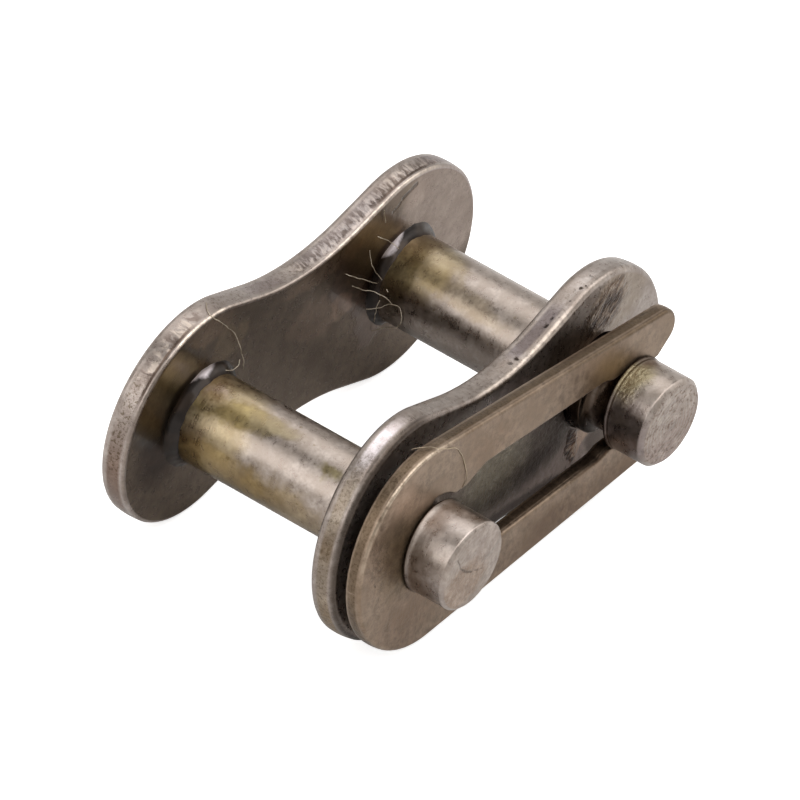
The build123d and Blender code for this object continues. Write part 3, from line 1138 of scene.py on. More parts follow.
class MeshTrees:
    """Geometry Nodes trees for turned pieces, oil rings and fibres."""

    def __init__(self) -> None:
        """Builds the trees once."""
        self.turned = self._turned()
        self.fibre = self._fibre()

    @staticmethod
    def _painted(graph: Graph, mesh: Socket, finish: Socket) -> Socket:
        """Makes a mesh smooth and plain, and gives it its material."""
        smooth = graph.node("GeometryNodeSetShadeSmooth",
                            {"Geometry": mesh, "Shade Smooth": True}).outputs[0]
        whole = graph.node("GeometryNodeRealizeInstances", {"Geometry": smooth}).outputs[0]
        return graph.node("GeometryNodeSetMaterial",
                          {"Geometry": whole, "Material": finish}).outputs[0]

    @staticmethod
    def _turned() -> bpy.types.NodeTree:
        """Turns a profile about an axis along Y.

        The profile is a line of points with X as its radius. Wobble makes the section swell and
        shrink round the turn, about the corner at Corner Radius and Corner Y. Slant shears what is
        near Slant Y along the axis, as the clip leans.
        """
        graph, given, end = open_group(
            "TurnedPiece", "GeometryNodeTree",
            [("Profile", Kind.GEOMETRY, None), ("Steps", Kind.INT, 192),
             ("Axis X", Kind.FLOAT, 0.0),
             ("Axis Z", Kind.FLOAT, 0.0), ("Corner Radius", Kind.FLOAT, 0.0),
             ("Corner Y", Kind.FLOAT, 0.0),
             ("Wobble", Kind.FLOAT, 0.0), ("Seed", Kind.FLOAT, 0.0), ("Slant", Kind.FLOAT, 0.0),
             ("Slant Y", Kind.FLOAT, 0.0), ("Slant Reach", Kind.FLOAT, 1.0 * MM),
             ("Finish", Kind.MATERIAL, None)],
            [("Piece", Kind.GEOMETRY)])
        size = graph.node("GeometryNodeAttributeDomainSize", {"Geometry": given["Profile"]},
                          component="MESH")
        rows = size.outputs["Point Count"]
        columns = graph.math("ADD", given["Steps"], 1.0)
        grid = graph.node("GeometryNodeMeshGrid",
                          {"Size X": 1.0, "Size Y": 1.0, "Vertices X": columns,
                           "Vertices Y": rows}).outputs["Mesh"]
        index = graph.node("GeometryNodeInputIndex").outputs[0]
        row = graph.math("MODULO", index, rows)
        column = graph.math("FLOOR", graph.math("DIVIDE", graph.math("ADD", index, 0.5), rows))
        angle = graph.times(graph.math("DIVIDE", column, given["Steps"]), 2 * math.pi)
        position = graph.node("GeometryNodeInputPosition").outputs[0]
        sample = graph.node("GeometryNodeSampleIndex", data_type="FLOAT_VECTOR", domain="POINT")
        graph.feed(sample.inputs["Geometry"], given["Profile"])
        graph.feed(next(s for s in sample.inputs if s.name == "Value" and s.enabled), position)
        graph.feed(sample.inputs["Index"], row)
        radius, along, _ = graph.separate(next(s for s in sample.outputs if s.enabled))
        cosine, sine = graph.math("COSINE", angle), graph.math("SINE", angle)
        swell = graph.noise(graph.combine(graph.times(cosine, 1.1), graph.times(sine, 1.1),
                                          given["Seed"]), 1.6, 2.0, 0.55)
        factor = graph.math("MULTIPLY_ADD", graph.math("SUBTRACT", swell, 0.5), given["Wobble"],
                            1.0)
        wide = graph.math("MULTIPLY_ADD", graph.math("SUBTRACT", radius, given["Corner Radius"]),
                          factor, given["Corner Radius"])
        deep = graph.math("MULTIPLY_ADD", graph.math("SUBTRACT", along, given["Corner Y"]), factor,
                          given["Corner Y"])
        off = graph.math("ABSOLUTE", graph.math("SUBTRACT", deep, given["Slant Y"]))
        near = graph.steps(off, 0.0, given["Slant Reach"], 1.0, 0.0)
        shear = graph.times(graph.times(wide, sine), graph.times(near, given["Slant"]))
        deep = graph.math("ADD", deep, shear)
        place = graph.combine(graph.math("MULTIPLY_ADD", wide, cosine, given["Axis X"]), deep,
                              graph.math("MULTIPLY_ADD", wide, sine, given["Axis Z"]))
        shaped = graph.node("GeometryNodeSetPosition",
                            {"Geometry": grid, "Position": place}).outputs[0]
        welded = graph.node("GeometryNodeMergeByDistance",
                            {"Geometry": shaped, "Distance": 1e-7}).outputs[0]
        graph.feed(end.inputs["Piece"], MeshTrees._painted(graph, welded, given["Finish"]))
        return graph.tree

    @staticmethod
    def _fibre() -> bpy.types.NodeTree:
        """Makes a fibre along each of the given lines, thin at its ends and slightly crooked."""
        graph, given, end = open_group(
            "LintFibre", "GeometryNodeTree",
            [("Routes", Kind.GEOMETRY, None), ("Radius", Kind.FLOAT, 0.012 * MM),
             ("Step", Kind.FLOAT, 0.05 * MM),
             ("Crook", Kind.FLOAT, 0.05 * MM), ("Seed", Kind.FLOAT, 3.0),
             ("Finish", Kind.MATERIAL, None)],
            [("Piece", Kind.GEOMETRY)])
        curve = graph.node("GeometryNodeMeshToCurve", {"Mesh": given["Routes"]}).outputs[0]
        curve = graph.node("GeometryNodeCurveSplineType", {"Curve": curve},
                           spline_type="CATMULL_ROM").outputs[0]
        resample = graph.node("GeometryNodeResampleCurve", {"Curve": curve}, mode="LENGTH")
        graph.feed(next(s for s in resample.inputs if s.name == "Length"), given["Step"])
        position = graph.node("GeometryNodeInputPosition").outputs[0]
        seeded = graph.vector("ADD", graph.vector("SCALE", position, scale=1 / MM),
                              graph.combine(given["Seed"], given["Seed"], given["Seed"]))
        shift = graph.node("ShaderNodeTexNoise",
                           {"Vector": seeded, "Scale": 2.2, "Detail": 1.0}).outputs["Color"]
        offset = graph.vector("SCALE", graph.vector("SUBTRACT", shift, (0.5, 0.5, 0.5)),
                              scale=graph.times(given["Crook"], 2.0))
        bent = graph.node("GeometryNodeSetPosition",
                          {"Geometry": resample.outputs[0], "Offset": offset}).outputs[0]
        ring = graph.node("GeometryNodeCurvePrimitiveCircle",
                          {"Resolution": 6, "Radius": given["Radius"]}, mode="RADIUS").outputs[0]
        tube = graph.node("GeometryNodeCurveToMesh", {"Curve": bent, "Profile Curve": ring,
                                                      "Fill Caps": True}).outputs[0]
        graph.feed(end.inputs["Piece"], MeshTrees._painted(graph, tube, given["Finish"]))
        return graph.tree

    @staticmethod
    def run(name: str, lines: Sequence[Sequence[Place]], tree: bpy.types.NodeTree,
            **inputs: object) -> bpy.types.Mesh:
        """Runs a tree on some lines and returns the plain mesh.

        Args:
            name: name of the mesh.
            lines: runs of points, in metres.
            tree: the Geometry Nodes tree.
            inputs: values for its named inputs; an underscore stands for a space.

        Returns:
            The evaluated mesh.
        """
        base = bpy.data.meshes.new(name + "_line")
        points, edges = [], []
        for line in lines:
            edges += [(len(points) + i, len(points) + i + 1) for i in range(len(line) - 1)]
            points += line
        base.from_pydata(points, edges, [])
        carrier = bpy.data.objects.new(name + "_line", base)
        bpy.context.scene.collection.objects.link(carrier)
        modifier = carrier.modifiers.new("tree", "NODES")
        modifier.node_group = tree
        names = {s.name: s.identifier for s in tree.interface.items_tree
                 if s.item_type == "SOCKET" and s.in_out == "INPUT"}
        for key, value in inputs.items():
            modifier[names[key.replace("_", " ")]] = value
        graph = bpy.context.evaluated_depsgraph_get()
        mesh = bpy.data.meshes.new_from_object(carrier.evaluated_get(graph), depsgraph=graph)
        mesh.name = name
        carrier.modifiers.remove(modifier)
        bpy.data.objects.remove(carrier)
        return mesh


# Pieces

def face_outwards(mesh: bpy.types.Mesh) -> None:
    """Turns the faces of a closed mesh outwards."""
    work = bmesh.new()
    work.from_mesh(mesh)
    bmesh.ops.recalc_face_normals(work, faces=work.faces)
    if work.calc_volume(signed=True) < 0:
        bmesh.ops.reverse_faces(work, faces=work.faces)
    work.to_mesh(mesh)
    work.free()


def add_piece(name: str, mesh: bpy.types.Mesh, body: str,
              replaces: str | None = None,
              material: bpy.types.Material | None = None) -> bpy.types.Object:
    """Puts a mesh in the scene as a piece of the object.

    Args:
        name: name of the piece.
        mesh: its mesh, in metres, in place.
        body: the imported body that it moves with.
        replaces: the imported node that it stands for.
        material: its material, unless the mesh has one.

    Returns:
        The object.
    """
    piece = bpy.data.objects.new(name, mesh)
    bpy.context.scene.collection.objects.link(piece)
    if material is not None:
        mesh.materials.clear()
        mesh.materials.append(material)
    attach(piece, body)
    if replaces:
        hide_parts(replaces)
    log.info("%s: %d faces on body %s", name, len(mesh.polygons), body)
    return piece


@dataclass
class Plates:
    """The rear plate and the loose cover plate, which share one outline."""

    sizes: LinkSizes
    groups: ShaderGroups
    waist_half_height: float = 3.55
    flank_length: float = 2.0
    rear_lip: float = 0.17
    cover_lip: float = 0.3
    back_round: float = 0.3
    spacing: float = 0.05
    hole_spacing: float = 0.06
    cover_lean_x: float = -3.4
    cover_lean_z: float = 2.5
    cover_hole_play: float = 0.09
    hole_round: float = 0.08

    def outline(self) -> Outline:
        """Waisted outline: two round lobes, straight flanks and hollow waists."""
        half, lobe_r = self.sizes.right_x, self.sizes.lobe_radius
        waist_r = ((half**2 + self.waist_half_height**2 - lobe_r**2 - self.flank_length**2)
                   / (2 * (lobe_r - self.waist_half_height)))
        lobe, waist = complex(half, 0), complex(0, self.waist_half_height + waist_r)
        flank = tangent_direction(lobe, waist, lobe_r + waist_r, -1)
        quarter = arc(lobe, lobe_r, 0, flank) + arc(waist, -waist_r, flank, math.pi / 2)
        upper = quarter + [complex(-p.real, p.imag) for p in quarter[-2::-1]]
        whole = upper + [p.conjugate() for p in upper[-2:0:-1]]
        middle = complex(0, self.sizes.axis_z)
        return Outline.through([p + middle for p in whole], self.spacing)

    def hole(self, x: float, radius: float) -> Outline:
        """Outline of a round hole about a pin's axis."""
        return Outline.through(arc(complex(x, self.sizes.axis_z), radius, 0, 2 * math.pi, 400)[:-1],
                               self.hole_spacing)

    def mesh(self, name: str, front: float, hole_radius: float, lip: float) -> bpy.types.Mesh:
        """Mesh of a plate with two holes, whose front face is at a given Y."""
        edge = EdgeShape(self.sizes.thickness, lip, self.back_round)
        hole_edge = EdgeShape(self.sizes.thickness, self.hole_round, self.hole_round, crown=0.0)
        holes = [self.hole(x, hole_radius) for x in (self.sizes.left_x, self.sizes.right_x)]
        return blanked_mesh(name, self.outline(), holes, edge, hole_edge, front)

    def build_rear(self) -> None:
        """Builds and dresses the rear plate, with its oil films and painted light and shade."""
        film, black, bare_and_lit = (0.72, 0.72, 0.68), (0.85, 0.74, 0.7), (1.87, 1.98, 2.3)
        finish = BlankedSteel(
            "rear_plate_steel", light=tone(182, 171, 164), dark=tone(150, 138, 131),
            mottle=tone(144, 131, 123), grain_height=0.008,
            stripes=(Span(5.5, 14.3),),
            burnish=(Span(20.6, 24.6, 0.8),),
            speckle=(Span(13.8, 20.0, 0.6), Span(24.3, 28.5, 0.9)),
            bright_lip=(Span(5.8, 13.0, 0.6), Span(13.0, 19.3, 0.3), Span(19.3, 22.8),
                        Span(22.8, 29.5, 0.15)),
            crease=(Span(6.3, 9.6, 0.8), Span(21.5, 25.2, 0.9)),
            shades=(Shade(Span(27.0, 36.0, 1.0, 1.5), (0.53, 0.43, 0.37)),
                    Shade(Span(3.5, 6.2), (0.6, 0.53, 0.52)),
                    Shade(Span(15.4, 17.6), (0.88, 0.86, 0.9)),
                    Shade(Span(9.0, 14.0), (0.82, 0.83, 0.87)),
                    Shade(Span(23.4, 30.0), (0.6, 0.58, 0.56), Zone.LIP)),
            layers=(
                # darkens the whole face: part brown oil film, part painted shade between the plates
                Layer(Patch(0.0, 4.75, 14.0, 8.0, ragged=0.45, soft=0.05), (0.385, 0.335, 0.265)),
                # right lobe: bare of film, and lightened as painted reflection of the bright
                # surroundings
                Layer(Patch(8.9, 6.9, 3.2, 3.4, ragged=0.15, soft=0.12), bare_and_lit),
                Layer(Patch(5.9, 8.9, 1.6, 0.75, turn=-20, soft=0.5), (1.25, 1.25, 1.25)),
                Layer(Patch(-8.9, 6.9, 2.15, 1.9, turn=25, soft=0.12), film, roughness=0.3,
                      height=0.008, edge_line=0.3, wet=0.4),
                # painted shade beside the left pin's root
                Layer(Patch(-7.9, 6.9, 0.9, 1.1, turn=30, ragged=0.35, soft=0.3), (0.45, 0.4, 0.36),
                      roughness=0.3),
                Layer(Patch(-5.0, 7.5, 1.1, 0.75, ragged=0.35, soft=0.2), (1.4, 1.4, 1.3)),
                Layer(Patch(3.9, 6.6, 2.3, 2.2, turn=-25, ragged=0.35, soft=0.1), black,
                      roughness=0.3, height=0.01, edge_line=0.3, wet=0.4),
                Layer(Patch(4.6, 4.1, 1.1, 1.9, ragged=0.4, soft=0.1), black, roughness=0.3,
                      height=0.01, wet=0.4),
                Layer(Patch(0.6, 5.6, 1.6, 1.0, turn=-20, soft=0.2), (1.3, 1.27, 1.3)),
                Layer(Patch(2.4, 5.2, 0.75, 0.6, turn=-20, soft=0.2), (1.8, 1.8, 1.85)),
                Layer(Patch(-6.3, 8.85, 1.5, 0.65, turn=-5), (1.6, 1.55, 1.5)),
                Layer(Patch(0.9, 7.8, 2.4, 0.5), (1.6, 1.55, 1.55)),
                # painted shade to the left of the left pin's root
                Layer(Patch(-8.7, 4.6, 1.3, 2.0, soft=0.5), (0.29, 0.22, 0.18), roughness=0.28),
            ),
            nicks=(Nick((5.75, 5.85, 8.75), (6.6, 5.85, 9.02), 0.15, 0.02, 0.5),
                   Nick((5.2, 5.85, 8.35), (5.6, 5.85, 8.6), 0.1, 0.02, 0.65)))
        mesh = self.mesh("rear_plate_detail", self.sizes.rear_front, self.sizes.pin_radius,
                         self.rear_lip)
        add_piece("rear_plate_detail", mesh, "link", "rear_plate",
                  finish.material(self.groups))

    def build_cover(self) -> None:
        """Builds the cover plate flat, then leans it about its middle as its solid does."""
        sizes = self.sizes
        front = sizes.cover_middle - sizes.thickness / 2
        dark, black = (0.44, 0.42, 0.4), (0.35, 0.31, 0.27)
        finish = BlankedSteel(
            "cover_plate_steel", light=tone(176, 165, 158), dark=tone(136, 125, 117),
            mottle=tone(132, 119, 110), metallic=0.92, grain_height=0.01,
            stripes=(Span(2.0, 6.5, 0.3), Span(15.0, 22.0, 0.2)),
            speckle=(Span(8.5, 19.0, 0.3), Span(22.5, 31.5, 0.6)),
            bright_lip=(Span(9.6, 15.6, 0.5), Span(5.0, 9.6, 0.2)),
            lip_pits=(Span(7.6, 13.3, 1.0, 0.3),),
            shades=(Shade(Span(23.6, 37.0, 1.0, 1.0), (0.8, 0.77, 0.68)),
                    Shade(Span(29.5, 37.0, 1.0, 1.5), (1.15, 1.0, 0.75)),
                    Shade(Span(24.6, 25.6, 1.0, 0.4), (1.2, 1.22, 1.26)),
                    Shade(Span(26.2, 27.1, 1.0, 0.4), (0.8, 0.74, 0.66)),
                    Shade(Span(28.4, 29.3, 1.0, 0.4), (1.15, 1.17, 1.2)),
                    Shade(Span(6.2, 8.8), (1.35, 1.4, 1.45)),
                    # painted highlight on the wall at the upper left
                    Shade(Span(20.6, 23.0, 1.0, 0.8), (2.4, 2.55, 2.9)),
                    Shade(Span(9.6, 12.8), (0.56, 0.55, 0.6)),
                    # painted shade on the lip where the clip's closed end hides it
                    Shade(Span(19.5, 37.0), (0.25, 0.23, 0.21), Zone.LIP),
                    # painted shade on the bottom lip, dimming its reflection of the floor
                    Shade(Span(37.0, 52.0), (0.2, 0.18, 0.16), Zone.LIP)),
            layers=(
                # painted shade with rough relief on the face in the clip's slot
                Layer(Patch(1.3, 4.6, 5.2, 2.3, ragged=0.2, soft=0.25), dark, relief=0.06,
                      roughness=0.42),
                Layer(Patch(-0.2, 3.9, 2.0, 1.5, turn=-10, ragged=0.4, soft=0.5), (1.7, 1.85, 1.7),
                      relief=0.05),
                Layer(Patch(2.8, 2.1, 4.6, 1.1, turn=-5), (0.72, 0.66, 0.65)),
                # painted light: lit patch of the face near the right seat
                Layer(Patch(5.6, 2.3, 0.6, 0.5, turn=20, ragged=0.35, soft=0.2), (1.6, 1.45, 1.25)),
                # painted shade along the bottom of the face below the slot
                Layer(Patch(2.5, 0.75, 6.2, 0.95, turn=-7.5, ragged=0.1, soft=0.15),
                      (0.3, 0.27, 0.25)),
                # painted shadow of the clip's seat
                Layer(Patch(7.2, 2.0, 0.95, 1.5, ragged=0.25, soft=0.25), black),
                Layer(Patch(-0.6, 6.9, 2.6, 1.0), (0.6, 0.56, 0.56)),
                # painted shadows beside the left pin, in this layer and the next
                Layer(Patch(-6.2, 6.6, 1.9, 1.1), black),
                Layer(Patch(-4.5, 5.1, 1.3, 1.4), black),
                Layer(Patch(4.4, 7.0, 1.6, 1.2, turn=-30), (0.6, 0.53, 0.46)),
                Layer(Patch(8.2, 8.4, 3.4, 1.6, turn=30, soft=0.3), (0.95, 0.92, 0.84)),
            ),
            scuffs=(Patch(6.85, 7.85, 1.35, 0.98, turn=34, soft=0.35),
                    Patch(5.15, 2.3, 0.4, 0.75, soft=0.2)),
            nicks=(Nick((10.04, front, 6.66), (9.5, front, 6.38), 0.06, 0.03),
                   Nick((8.9, front, 7.3), (9.6, front, 7.75), 0.04, 0.015, 0.6)))
        mesh = self.mesh("cover_plate_detail", front, sizes.pin_radius + self.cover_hole_play,
                         self.cover_lip)
        sizes.leaned(mesh, sizes.cover_middle, self.cover_lean_x, self.cover_lean_z)
        add_piece("cover_plate_detail", mesh, "cover", "cover_plate",
                  finish.material(self.groups))


@dataclass
class Pins:
    """The two grooved pins and the oil round their roots."""

    sizes: LinkSizes
    groups: ShaderGroups
    trees: MeshTrees
    end_rounding: float = 0.035
    bead: float = 0.04
    groove_depth: float = 0.4
    groove_front_reach: float = 0.39
    groove_back_reach: float = 0.78
    groove_round: float = 0.06
    head_round: float = 0.3
    head_dome: float = 0.1
    oil_sunk: float = 0.02

    @property
    def slant(self) -> float:
        """Rise of the groove's front edge along Y per millimetre of height, as the clip leans."""
        return math.tan(math.radians(-CLIP_LEAN))

    @property
    def groove_front(self) -> float:
        """Y of the groove's front edge at the height of the axis."""
        return self.sizes.clip_middle - self.groove_front_reach

    def profile(self, chamfer: float) -> list[Place]:
        """Half section of a pin in metres, from the middle of its front to that of its head."""
        s, e = self.sizes, self.end_rounding
        groove_front, groove_back = self.groove_front, s.clip_middle + self.groove_back_reach
        groove_r, g = s.pin_radius - self.groove_depth, self.groove_round
        points: list[complex] = [complex(r, s.pin_front)
                                 for r in np.linspace(0, s.pin_radius - chamfer - e, 14)]
        points += [complex(s.pin_radius - chamfer - e / 4, s.pin_front + e / 4),
                   complex(s.pin_radius - chamfer + e, s.pin_front + 1.4 * e),
                   complex(s.pin_radius - 0.8 * e, s.pin_front + chamfer - 0.6 * e),
                   complex(s.pin_radius - e / 5, s.pin_front + chamfer + e / 4),
                   complex(s.pin_radius, s.pin_front + chamfer + 2 * e)]
        rear = groove_front - 2 * g
        points += [complex(s.pin_radius, y)
                   for y in np.linspace(s.pin_front + chamfer + 3 * e, rear, 8)]
        points += arc(complex(s.pin_radius + self.bead - g, groove_front - g), g, 0, math.pi / 2, 6)
        points += [complex(groove_r, groove_front), complex(groove_r, groove_back)]
        points += arc(complex(s.pin_radius - g, groove_back + g), g, -math.pi / 2, 0, 5)
        points += [complex(s.pin_radius, y)
                   for y in np.linspace(groove_back + g, s.rear_back, 30)[1:]]
        points += [complex(s.head_radius, s.rear_back)]
        tall = s.pin_back - s.rear_back - self.head_dome
        points += [complex(s.head_radius - self.head_round * (1 - math.cos(a)),
                           s.rear_back + tall * math.sin(a))
                   for a in np.linspace(0, math.pi / 2, 7)[1:]]
        crown = s.head_radius - self.head_round
        points += [complex(crown * math.cos(a), s.rear_back + tall + self.head_dome * math.sin(a))
                   for a in np.linspace(0, math.pi / 2, 10)[1:]]
        return [(p.real * MM, p.imag * MM, 0.0) for p in points]

    def build_pin(self, name: str, x: float, chamfer: float, finish: PinSteel) -> None:
        """Turns one pin and gives it its finish."""
        material = finish.material(self.groups)
        mesh = MeshTrees.run(name + "_detail", [self.profile(chamfer)], self.trees.turned,
                             Axis_X=x * MM, Axis_Z=self.sizes.axis_z * MM, Slant=self.slant,
                             Slant_Y=self.groove_front * MM, Finish=material)
        face_outwards(mesh)
        add_piece(name + "_detail", mesh, "link", name)

    def build_oil(self, name: str, x: float, height: float, width: float, seed: float,
                  material: bpy.types.Material) -> None:
        """Makes the ring of oil that stands between a pin and the rear plate.

        Args:
            name: name of the piece.
            x: the pin's axis.
            height: how far the oil climbs along the pin.
            width: how far it spreads on the plate.
            seed: changes the ring's uneven outline.
            material: the oil's material.
        """
        s = self.sizes
        corner = complex(s.pin_radius - self.oil_sunk, s.rear_front + self.oil_sunk)
        hollow = [complex(corner.real + width * (1 - math.cos(a)),
                          corner.imag - height * (1 - math.sin(a)))
                  for a in np.linspace(0, math.pi / 2, 16)]
        section = [corner] + hollow + [corner]
        line = [(p.real * MM, p.imag * MM, 0.0) for p in section]
        mesh = MeshTrees.run(name, [line], self.trees.turned, Steps=160, Axis_X=x * MM,
                             Axis_Z=s.axis_z * MM,
                             Corner_Radius=corner.real * MM, Corner_Y=corner.imag * MM, Wobble=0.7,
                             Seed=seed, Finish=material)
        face_outwards(mesh)
        add_piece(name, mesh, "link")

    def build(self) -> None:
        """Builds both pins and their oil."""
        s = self.sizes
        between = (s.clip_middle + s.cover_middle) / 2 + 0.3
        # painted shade bands by the raised rim at the groove's front edge
        burr_shade = tuple((self.groove_front - reach, half) for reach,
                     half in ((0.2, 0.055), (0.03, 0.06)))
        shared = dict(light=tone(194, 182, 173), dark=tone(146, 134, 126),
                      mottle=tone(158, 145, 135),
                      roughness=0.32, fine=9.0, broad=1.4, grain_height=0.009, axis_z=s.axis_z,
                      radius=s.pin_radius,
                      end_y=s.pin_front, hairline_turn=90.0, hairlines=0.3, slant=self.slant)
        ochre, olive, root = (1.0, 0.92, 0.62), (0.76, 0.72, 0.46), (0.85, 0.85, 0.8)
        tail = self.groove_front - 0.3
        left_stains_and_shading = (
            Layer(Patch(-0.2, 5.6, 3.4, 2.9, ragged=0.35, soft=0.25), ochre, 0.9, wet=0.25),
            Layer(Patch(-0.75, 3.6, 0.55, 2.5, turn=-8, soft=0.3), olive, 0.8, edge_line=0.25),
            Layer(Patch(1.75, 3.7, 0.9, 3.1, soft=0.3), (0.72, 0.64, 0.42), 0.9, edge_line=0.3),
            Layer(Patch(2.1, 0.7, 1.2, 2.3, ragged=0.4, soft=0.35), (0.88, 0.8, 0.58), 0.9,
                  edge_line=0.25),
            Layer(Patch(-0.45, -1.0, 0.3, 0.5, ragged=0.35, soft=0.6), (0.7, 0.68, 0.45)),
            # painted shade at the root, where the pin meets the plate
            Layer(Patch(0.0, 5.95, 4.0, 0.5, soft=0.5), root, 0.8, roughness=0.3),
            # painted highlight on the tail's upper side
            Layer(Patch(-1.0, -6.3, 0.9, 0.8, turn=10, ragged=0.2, soft=0.6), (1.3, 1.33, 1.38)),
            Layer(Patch(-0.85, 4.85, 0.6, 0.5, soft=0.5), (1.4, 1.45, 1.9)),
            Layer(Patch(1.0, 4.85, 0.7, 0.6, soft=0.5), (0.84, 0.8, 0.8)),
            # painted shade on the tail's lower side, in this layer and the next
            Layer(Patch(0.75, -6.3, 0.5, 0.9, turn=10, ragged=0.25, soft=0.5), (0.72, 0.7, 0.68)),
            Layer(Patch(1.9, -6.2, 0.9, 1.6, ragged=0.2, soft=0.5), (0.8, 0.8, 0.82)),
        )
        right_stains_and_shading = (
            Layer(Patch(-0.9, 4.9, 1.7, 2.0, ragged=0.35, soft=0.25), (0.92, 0.86, 0.6), 0.9,
                  edge_line=0.3, wet=0.2),
            Layer(Patch(-0.35, 2.6, 0.5, 2.6, turn=6), (0.82, 0.76, 0.6), 0.7),
            Layer(Patch(1.9, 2.5, 1.5, 4.0, ragged=0.25), (0.7, 0.7, 0.7)),
            # painted shade near the root
            Layer(Patch(-0.1, 4.95, 1.9, 0.65), (0.55, 0.53, 0.44)),
            # painted shade where the pin runs between cover and clip
            Layer(Patch(1.2, -4.1, 3.2, 0.6, ragged=0.2, soft=0.3), (0.5, 0.47, 0.45)),
            # painted shade at the root, where the pin meets the plate
            Layer(Patch(0.0, 5.95, 4.0, 0.5, soft=0.5), root, 0.8, roughness=0.3),
            Layer(Patch(-0.9, tail, 1.0, 0.7, ragged=0.35, soft=0.6), (0.82, 0.82, 0.6),
                  relief=0.04),
            # painted shade on the tail's lower side
            Layer(Patch(1.6, tail - 0.5, 1.5, 1.4, ragged=0.2), (0.66, 0.65, 0.7)),
        )
        end = s.pin_front
        smooth = Layer(Patch(-5.75, 5.9, 1.15, 1.2, ragged=0.12, soft=0.06), (0.98, 0.97, 0.97),
                       height=0.04)
        rough = Layer(Patch(-6.9, 4.0, 1.5, 1.0, turn=20, soft=0.3), (0.95, 0.87, 0.8), relief=0.16)
        crescent = (Nick((-7.5, end, 5.7), (-7.1, end, 5.0), 0.05, 0.03, 0.65),
                    Nick((-7.1, end, 5.0), (-6.5, end, 4.6), 0.07, 0.04, 0.55),
                    Nick((-6.5, end, 4.6), (-5.7, end, 4.35), 0.05, 0.03, 0.65))
        left = PinSteel("left_pin_steel", axis_x=s.left_x, rings=0.3, end_layers=(rough, smooth),
                        stains_and_shading=left_stains_and_shading, nicks=crescent,
                        dark_bands=((s.clip_middle, 0.6), (between, 0.9), *burr_shade[1:]), **shared)
        worn = Layer(Patch(6.1, 3.5, 2.4, 1.3, turn=10, soft=0.5), (0.86, 0.82, 0.82))
        right = PinSteel("right_pin_steel", axis_x=s.right_x, rings=1.0, end_layers=(worn,),
                         stains_and_shading=right_stains_and_shading,
                         dark_bands=((s.clip_middle, 0.6), (between, 0.9), *burr_shade), **shared)
        self.build_pin("left_pin", s.left_x, 0.12, left)
        self.build_pin("right_pin", s.right_x, 0.18, right)
        left_oil = OilFinish("left_dirty_oil",
                             sheen_at=Patch(-6.8, 7.05, 0.95, 0.3, turn=-2, ragged=0.08, soft=0.25))
        right_oil = OilFinish("right_dirty_oil",
                              sheen_at=Patch(5.42, 6.78, 0.8, 0.24, turn=25, ragged=0.08,
                                             soft=0.25))
        self.build_oil("left_root_oil", s.left_x, 0.6, 0.5, 1.0, left_oil.material(self.groups))
        self.build_oil("right_root_oil", s.right_x, 0.55, 0.45, 5.0,
                       right_oil.material(self.groups))


